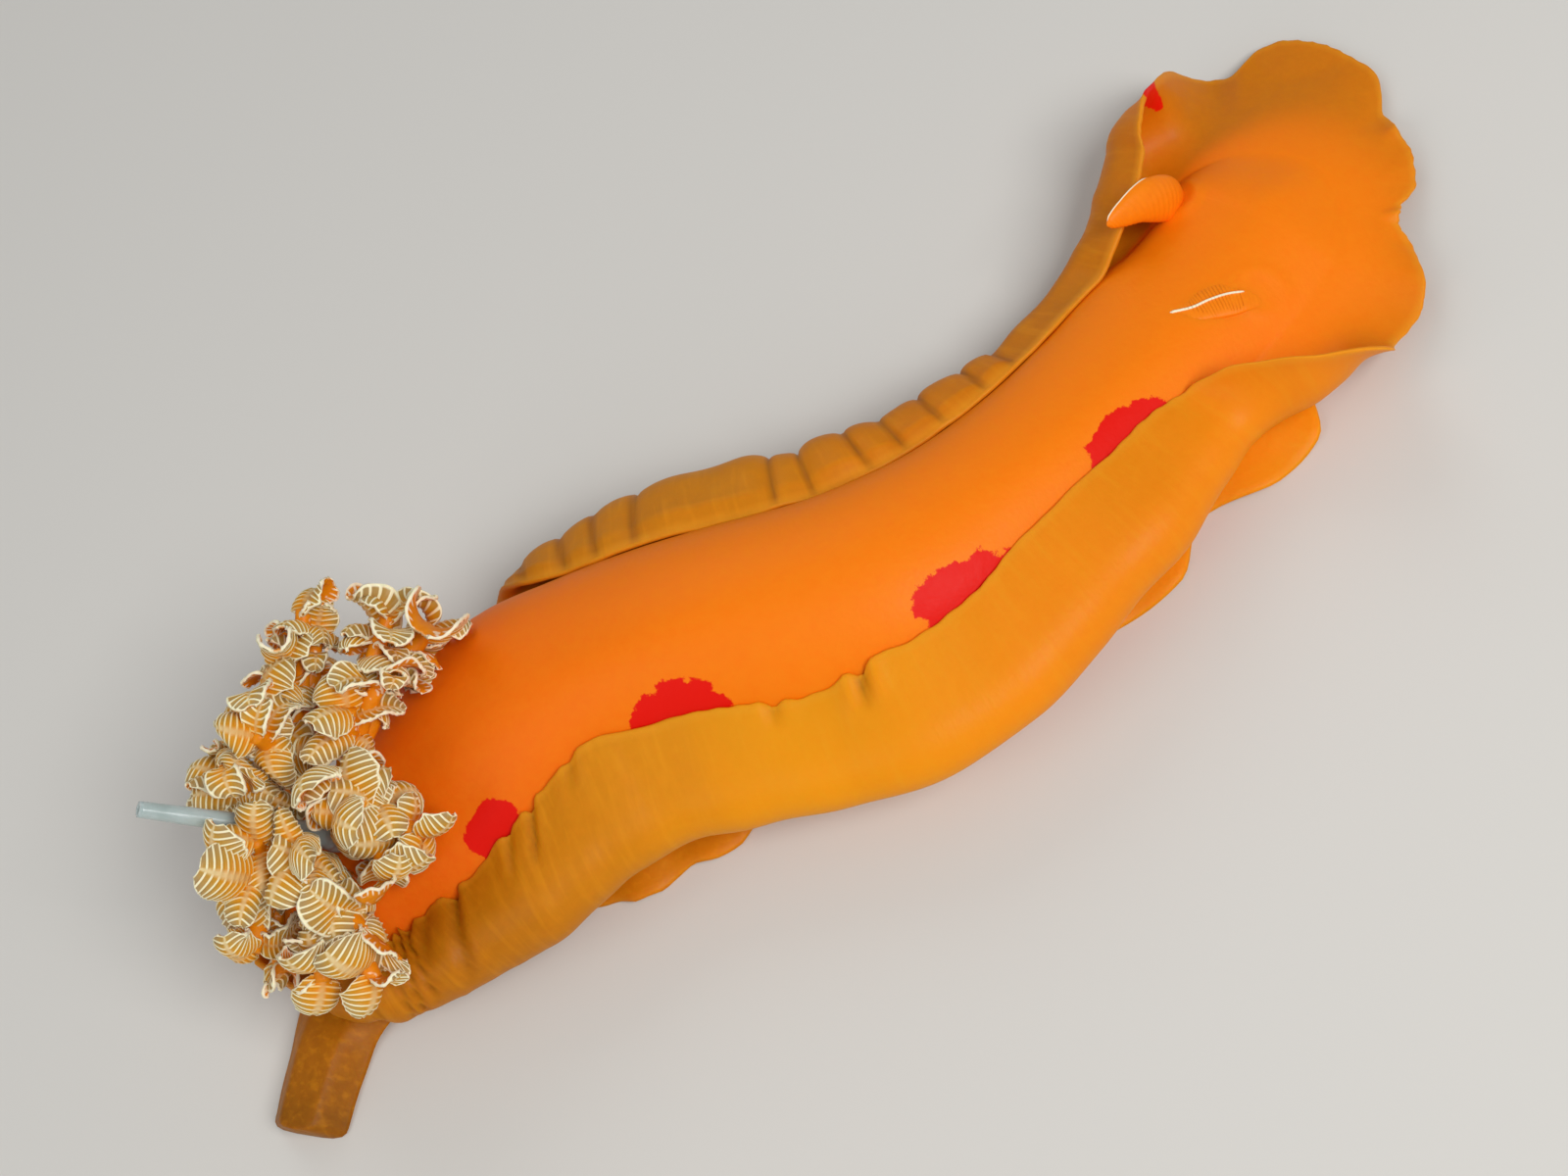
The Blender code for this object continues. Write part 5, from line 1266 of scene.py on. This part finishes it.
def tuft(rng, end, way, low, high, others, places, sizes, tries):
    """A branch's leaves, turned to lie clearest: how each grew, its sheet, and how that was moved."""
    side = unit(np.cross(way, (0.02, 0, 1)))
    up = np.cross(side, way)
    best, least = None, np.inf
    for _ in range(tries):
        start, leaves, cost = rng.uniform(0, 2 * np.pi), [], 0.0
        for k, (back_from_end, narrow, wide) in enumerate(places):
            turn = start + 2 * np.pi * k / len(places) + rng.uniform(-TURN_PLAY, TURN_PLAY)
            outward = math.cos(turn) * side + math.sin(turn) * up
            spread = math.radians(rng.uniform(narrow, wide))
            ahead = math.cos(spread) * way + math.sin(spread) * outward
            aside = math.cos(spread) * outward - math.sin(spread) * way
            size = sizes[rng.integers(len(sizes))]
            grown = (end - back_from_end * way, ahead, aside, size, rng.uniform(*CURLS), rng.uniform(*CUPS))
            sheet = leaf_sheet(*grown)
            clear = lifted(bent_clear(sheet, low, high, LEAF_THICK / 2), GILL_COVER + LEAF_THICK / 2)
            cost += np.abs(clear - sheet).sum() + 3 * crowding(clear, others + [leaf[1] for leaf in leaves])
            leaves.append((grown, clear, clear - sheet))
        if cost < least:
            best, least = leaves, cost
    return best


print("ground under the gills:", len(ground_faces), "faces")

# %% [markdown]
# A gill leaf is an oval with a pale midrib, and from the midrib thin plates curve out and forward to the
# rim on both sides, like the barbs of a feather. They are what the eye reads as lace. Each row of the
# leaf's mesh runs the way the plates run, so that every plate is a clean ridge, and a row's place in its
# plate is kept on the points, so that the shader can whiten just the crests. The rim is a thicker white
# cord.

# %% Draw one leaf finely
ROWS_A_PLATE, LEAF_COLUMNS = 5, 19
PLATE_PITCH, PLATE_HEIGHT = 0.8, 0.24
MIDRIB_RISE, MIDRIB_BACK, CORD_RISE = 0.16, 0.42, 0.06      # mm above the front and behind the back
FRONT_HALF, BACK_HALF = 0.1, 0.12                           # mm from the leaf's middle to its two faces
# In shares of a leaf's half width: the midrib's half, then where the plates, the rim's cord and the plates'
# ends on the back start, each with the length over which it rises
MIDRIB_HALF, PLATE_RISE, CORD_START, ENDS_START = 0.11, (0.04, 0.1), (0.92, 0.05), (0.6, 0.3)
OPEN_WATER = np.array([0, -0.35, 0.94])     # the side that the plates look to, up and a little to the right


def fine_leaf(grown, shift, roll):
    """Front and back of a leaf as grids, with plate phase, place across and place along for each point."""
    base, way, outward, (length, width), curl, _ = grown
    # Its halves bend round by the angle roll, away from its front or towards it, and are wider for that
    turned = max(abs(math.radians(roll)), 0.05)
    width *= 1.1 * turned / math.sin(min(turned, math.pi / 2))
    plates = round(length / PLATE_PITCH)
    t = np.linspace(0, 1, plates * ROWS_A_PLATE)[:, None]
    v = np.sin(np.linspace(-1, 1, LEAF_COLUMNS) * np.pi / 2)[None]
    # The rim runs round an oval that is widest beyond its middle, and each row curves from a place on the
    # midrib to one on the rim
    turn = np.pi * (0.07 + 0.89 * t)
    rim_run, rim_half = length * ((1 - np.cos(turn)) / 2) ** 0.78, width / 2 * np.sin(turn) ** 0.7
    mid_run = 0.96 * length * t ** 1.1
    run = mid_run + (rim_run - mid_run) * np.abs(v) ** 1.6
    phase = t * plates + 0 * v
    fine, path, angle = midrib_path(base, way, outward, length, curl)
    middle = read_path(run / length, fine, path)
    lean = np.interp(run / length, fine, angle)[..., None]
    facing = np.sin(lean) * way - np.cos(lean) * outward
    centre = (len(t) // 2, LEAF_COLUMNS // 2)
    facing = facing * (1 if facing[centre] @ OPEN_WATER > -0.2 else -1)
    across = np.cross(way, outward)
    radius = width / 2 / turned
    bow = -math.copysign(1, roll) * radius * (1 - np.cos(rim_half * v / radius))
    bow = bow + 0.2 * np.abs(v) ** 3 * np.sin(2 * np.pi * phase / 3.3 + 2 * np.sign(v))
    grid = middle + (radius * np.sin(rim_half * v / radius))[..., None] * across + bow[..., None] * facing
    # The same moves that kept the plain leaf clear of its neighbours
    moves = [read_path(run / length, np.linspace(0, 1, LEAF_ROWS), shift[:, k]) for k in range(3)]
    beside = np.where(v[..., None] < 0, moves[0], moves[2])
    grid = grid + moves[1] + (beside - moves[1]) * np.abs(v)[..., None]
    normal = unit(np.cross(np.gradient(grid, axis=0), np.gradient(grid, axis=1)))
    normal = normal * np.sign(normal[centre] @ facing[centre])
    off = np.abs(v) + 0 * t
    plate = (0.5 + 0.5 * np.cos(2 * np.pi * phase)) ** 2
    inside = ramp(off, *PLATE_RISE) * ramp(off, 1, -0.06)
    midrib = bell(off, MIDRIB_HALF) * (1.0 - 0.7 * t)
    cord = ramp(off, *CORD_START)
    front = FRONT_HALF + PLATE_HEIGHT * plate * inside + MIDRIB_RISE * midrib + CORD_RISE * cord
    plate_ends = plate * ramp(off, *ENDS_START)
    back_face = BACK_HALF + 0.1 * plate_ends + MIDRIB_BACK * midrib + CORD_RISE * cord
    return (grid + normal * front[..., None], grid - normal * back_face[..., None],
            {"plate_phase": phase, "beside_midrib": v + 0 * t, "leaf_run": t + 0 * v})


def slab_faces(count_a, count_b, start):
    """Quads of a closed body between two matching grids."""
    over = start + np.arange(count_a * count_b).reshape(count_a, count_b)
    below = over + count_a * count_b
    sheets = [(over[:-1, :-1], over[1:, :-1], over[1:, 1:], over[:-1, 1:]),
              (below[:-1, :-1], below[:-1, 1:], below[1:, 1:], below[1:, :-1]),
              (over[0, :-1], over[0, 1:], below[0, 1:], below[0, :-1]),
              (over[-1, :-1], below[-1, :-1], below[-1, 1:], over[-1, 1:]),
              (over[:-1, 0], below[:-1, 0], below[1:, 0], over[1:, 0]),
              (over[:-1, -1], over[1:, -1], below[1:, -1], below[:-1, -1])]
    return [face for sheet in sheets for face in np.stack(sheet, -1).reshape(-1, 4).tolist()]


leaf_rows = round(8 / PLATE_PITCH) * ROWS_A_PLATE
print("triangles on a leaf 8 mm long:", 2 * len(slab_faces(leaf_rows, LEAF_COLUMNS, 0)))

# %% [markdown]
# The gill's tissue is thin and full of clear blood. Its plates are creamy white along their crests. The
# hollows between them run from orange beside the midrib to a golden tan near the rim. The rim is a white
# cord, and the smooth backs and stalks stay orange, with the ends of the plates as short white dashes.

# %% Gill tissue
# Thin wet gill tissue, white-edged plates over orange: reads as lace
gill_tissue, tree = start_material("wet_gill_tissue")
phase, beside, run, frontal = (add_node(tree, "Attribute", attribute_name=name).outputs["Fac"]
                               for name in GILL_VALUES)
position = add_node(tree, "TexCoord").outputs["Object"]
mottle = add_node(tree, "TexNoise", {"Vector": position, "Scale": 1 / 0.0007, "Detail": 3.0}).outputs["Fac"]
specks = add_node(tree, "TexNoise", {"Vector": position, "Scale": 1 / 0.0012, "Detail": 1.0}).outputs["Fac"]
turned = add_node(tree, "Math", {0: phase, 1: 2 * math.pi}, operation="MULTIPLY").outputs[0]
wave = add_node(tree, "Math", {0: turned}, operation="COSINE").outputs[0]
off_midrib = add_node(tree, "Math", {0: beside}, operation="ABSOLUTE").outputs[0]
outward = add_node(tree, "Math", {0: off_midrib, 1: 0.75, 2: run}, operation="MULTIPLY_ADD").outputs[0]
# Shares: what each follows, from where to where, and what it is at either end
LEAF_SHARES = {
    "plate": (wave, 0.42, 0.8, 0, 1),           # crests 0.27 mm wide, 0.9 to 1.1 mm apart
    "midrib": (off_midrib, 0.04, 0.16, 1, 0),
    "rim": (off_midrib, 0.9, 0.95, 0, 1),
    "orange_left": (outward, 0.4, 1.0, 0, 1),
    "tan": (outward, 0.85, 1.5, 0, 1),
    "near_rim": (off_midrib, 0.62, 0.78, 0, 1),
    "speck": (specks, 0.66, 0.72, 0, 0.7),      # white specks 1.2 mm apart along the stalks
}
share = {name: add_node(tree, "MapRange", {"Value": source, 1: low, 2: high, 3: first, 4: last}).outputs[0]
         for name, (source, low, high, first, last) in LEAF_SHARES.items()}
# Backs and stalks: the plates' ends as dashes near the rim, the specks, and the rim itself
dashes = add_node(tree, "Math", {0: share["plate"], 1: share["near_rim"]}, operation="MULTIPLY")
back_white = dashes.outputs[0]
for other in (share["speck"], share["rim"]):
    back_white = add_node(tree, "Math", {0: back_white, 1: other}, operation="MAXIMUM").outputs[0]
LEAF_TONES = [
    ("warm_field", share["orange_left"], "e48e02", "c89428"),
    ("field", share["tan"], "warm_field", "b29462"),
    ("line", share["orange_left"], "f0c878", "fdf4cc"),
    ("plated", share["plate"], "field", "line"),
    ("bone", run, "e0962c", "e8d29c"),
    ("ribbed", share["midrib"], "plated", "bone"),
    ("rimmed", share["rim"], "ribbed", "fff6d0"),
    ("stem", mottle, "df7c04", "f0960c"),
    ("dashed", back_white, "stem", "ffeed0"),
    ("both", frontal, "dashed", "rimmed")]
tone = {}
for name, part, low, high in LEAF_TONES:
    tone[name] = add_node(tree, "Mix", {0: part, 6: tone.get(low, low), 7: tone.get(high, high)},
                          data_type="RGBA").outputs[2]
bump = add_node(tree, "Bump", {"Strength": 0.25, "Distance": 0.0001, "Height": mottle}).outputs["Normal"]
end_material(tree, {
    "Base Color": tone["both"], "Roughness": 0.5, "IOR": 1.36, "Specular IOR Level": 0.3,
    "Subsurface Weight": 0.15, "Subsurface Radius": (1.0, 0.6, 0.35), "Subsurface Scale": 0.0003,
    "Coat Weight": 0.1, "Coat Roughness": 0.25, "Normal": bump})
print("gill tissue nodes:", len(tree.nodes))

# %% [markdown]
# Each gill is then put together: the stalk, its branches and all their leaves in one mesh.

# %% Grow the six gills
LIMB_SIDES, STALK_RINGS, BRANCH_RINGS = 18, 30, 34
STALK_RADII, BRANCH_RADII, LESSER_RADII = [2.1, 1.9, 1.8, 1.8, 1.7, 0.9], [1.3, 1.5, 1.4, 1.0], [1.3, 1.0]
FORK_OUT, FORK_UP, ROOTED = 2.5, 5.0, 1.2       # mm to the fork, and from the root up to the back's skin
BRANCH_BOW, BRANCH_ROOM, BRANCH_COVER = 0.8, 1.2, 1.3      # mm up, and mm kept beside and below it
CURLED_BACK, BACK_ROLLS, FRONT_ROLLS = 0.75, (55, 105), (15, 45)        # share of the leaves, and degrees


def grow_gill(name, low, high, tufts):
    """Points, faces and values of one gill."""
    rng = np.random.default_rng(SEEDS[name])
    way = bearing((low + high) / 2)
    foot_point = np.array(VENT) + way * CROWN_BASE
    base = np.array([*foot_point, float(back_at(foot_point[None])[0]) + GAP])
    fork = base + np.array([*(way * FORK_OUT), FORK_UP])
    top = 0.6 * fork + 0.4 * np.mean(tufts, axis=0)
    limbs = [(smooth_path([base - (0, 0, ROOTED), base, fork, top], STALK_RINGS), STALK_RADII)]
    ends = []
    for centre in tufts + CLOSER[name]:
        path = smooth_path([fork - (0, 0, 1.0), 0.5 * (fork + centre) + (0, 0, BRANCH_BOW), centre], 4)
        path[1:] = lifted(bent_clear(path[1:], low, high, BRANCH_ROOM), GILL_COVER + BRANCH_COVER)
        limbs.append((smooth_path(path, BRANCH_RINGS), BRANCH_RADII if centre in tufts else LESSER_RADII))
        ends.append((path[-1], unit(path[-1] - path[-3])))
    # Large leaves on every branch, small ones between them, and small ones low on the main branches
    leaves = []
    for places, sizes, tries, tips in ((LEAF_PLACES, LEAF_SIZES, TRIES, ends),
                                       (SMALL_PLACES, SMALL_SIZES, SMALL_TRIES, ends),
                                       (LOW_PLACES, SMALL_SIZES, SMALL_TRIES, ends[:len(tufts)])):
        for end, heading in tips:
            leaves += tuft(rng, end, heading, low, high, [leaf[1] for leaf in leaves], places, sizes, tries)
    points, faces, count = [], [], 0
    kept = {value_name: [] for value_name in GILL_VALUES}
    for path, radii in limbs:
        radii = evenly(radii, np.linspace(0, 1, len(path)))
        lines = bent_clear(limb_rings(path, radii, LIMB_SIDES)[0], low, high)
        faces += lattice(len(path), LIMB_SIDES, close_b=True, start=count)
        faces += shut_ends(len(path), LIMB_SIDES, start=count)
        points.append(lines.reshape(-1, 3))
        for value in kept.values():
            value.append(np.zeros(len(points[-1])))
        count += len(points[-1])
    for number, (grown, _, shift) in enumerate(leaves):
        if (name, number) in LEFT_OUT:
            continue
        roll = rng.uniform(*BACK_ROLLS) if rng.uniform() < CURLED_BACK else -rng.uniform(*FRONT_ROLLS)
        size = SMALLER.get((name, number), 1)
        grown = (*grown[:3], (grown[3][0] * size, grown[3][1] * size), *grown[4:])
        front, back_face, marks = fine_leaf(grown, shift, roll)
        faces += slab_faces(*front.shape[:2], count)
        points += [front.reshape(-1, 3), back_face.reshape(-1, 3)]
        for value_name, value in marks.items():
            kept[value_name] += [value.ravel()] * 2
        kept["front_face"] += [np.ones(front.size // 3), np.zeros(front.size // 3)]
        count += 2 * front.size // 3
    return np.concatenate(points), faces, {key: np.concatenate(value) for key, value in kept.items()}


for name, (low, high, tufts) in GILLS.items():
    points, faces, kept_values = grow_gill(name, low, high, tufts)
    plume = mesh_object(name + "_plume", points, faces)
    turn_outwards(plume)
    for value_name, kept in kept_values.items():
        keep_on_points(plume, value_name, kept)
    plume.data.materials.append(gill_tissue)
    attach(plume, "root")
    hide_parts(name)
    print(plume.name, "triangles:", sum(len(face.vertices) - 2 for face in plume.data.polygons))
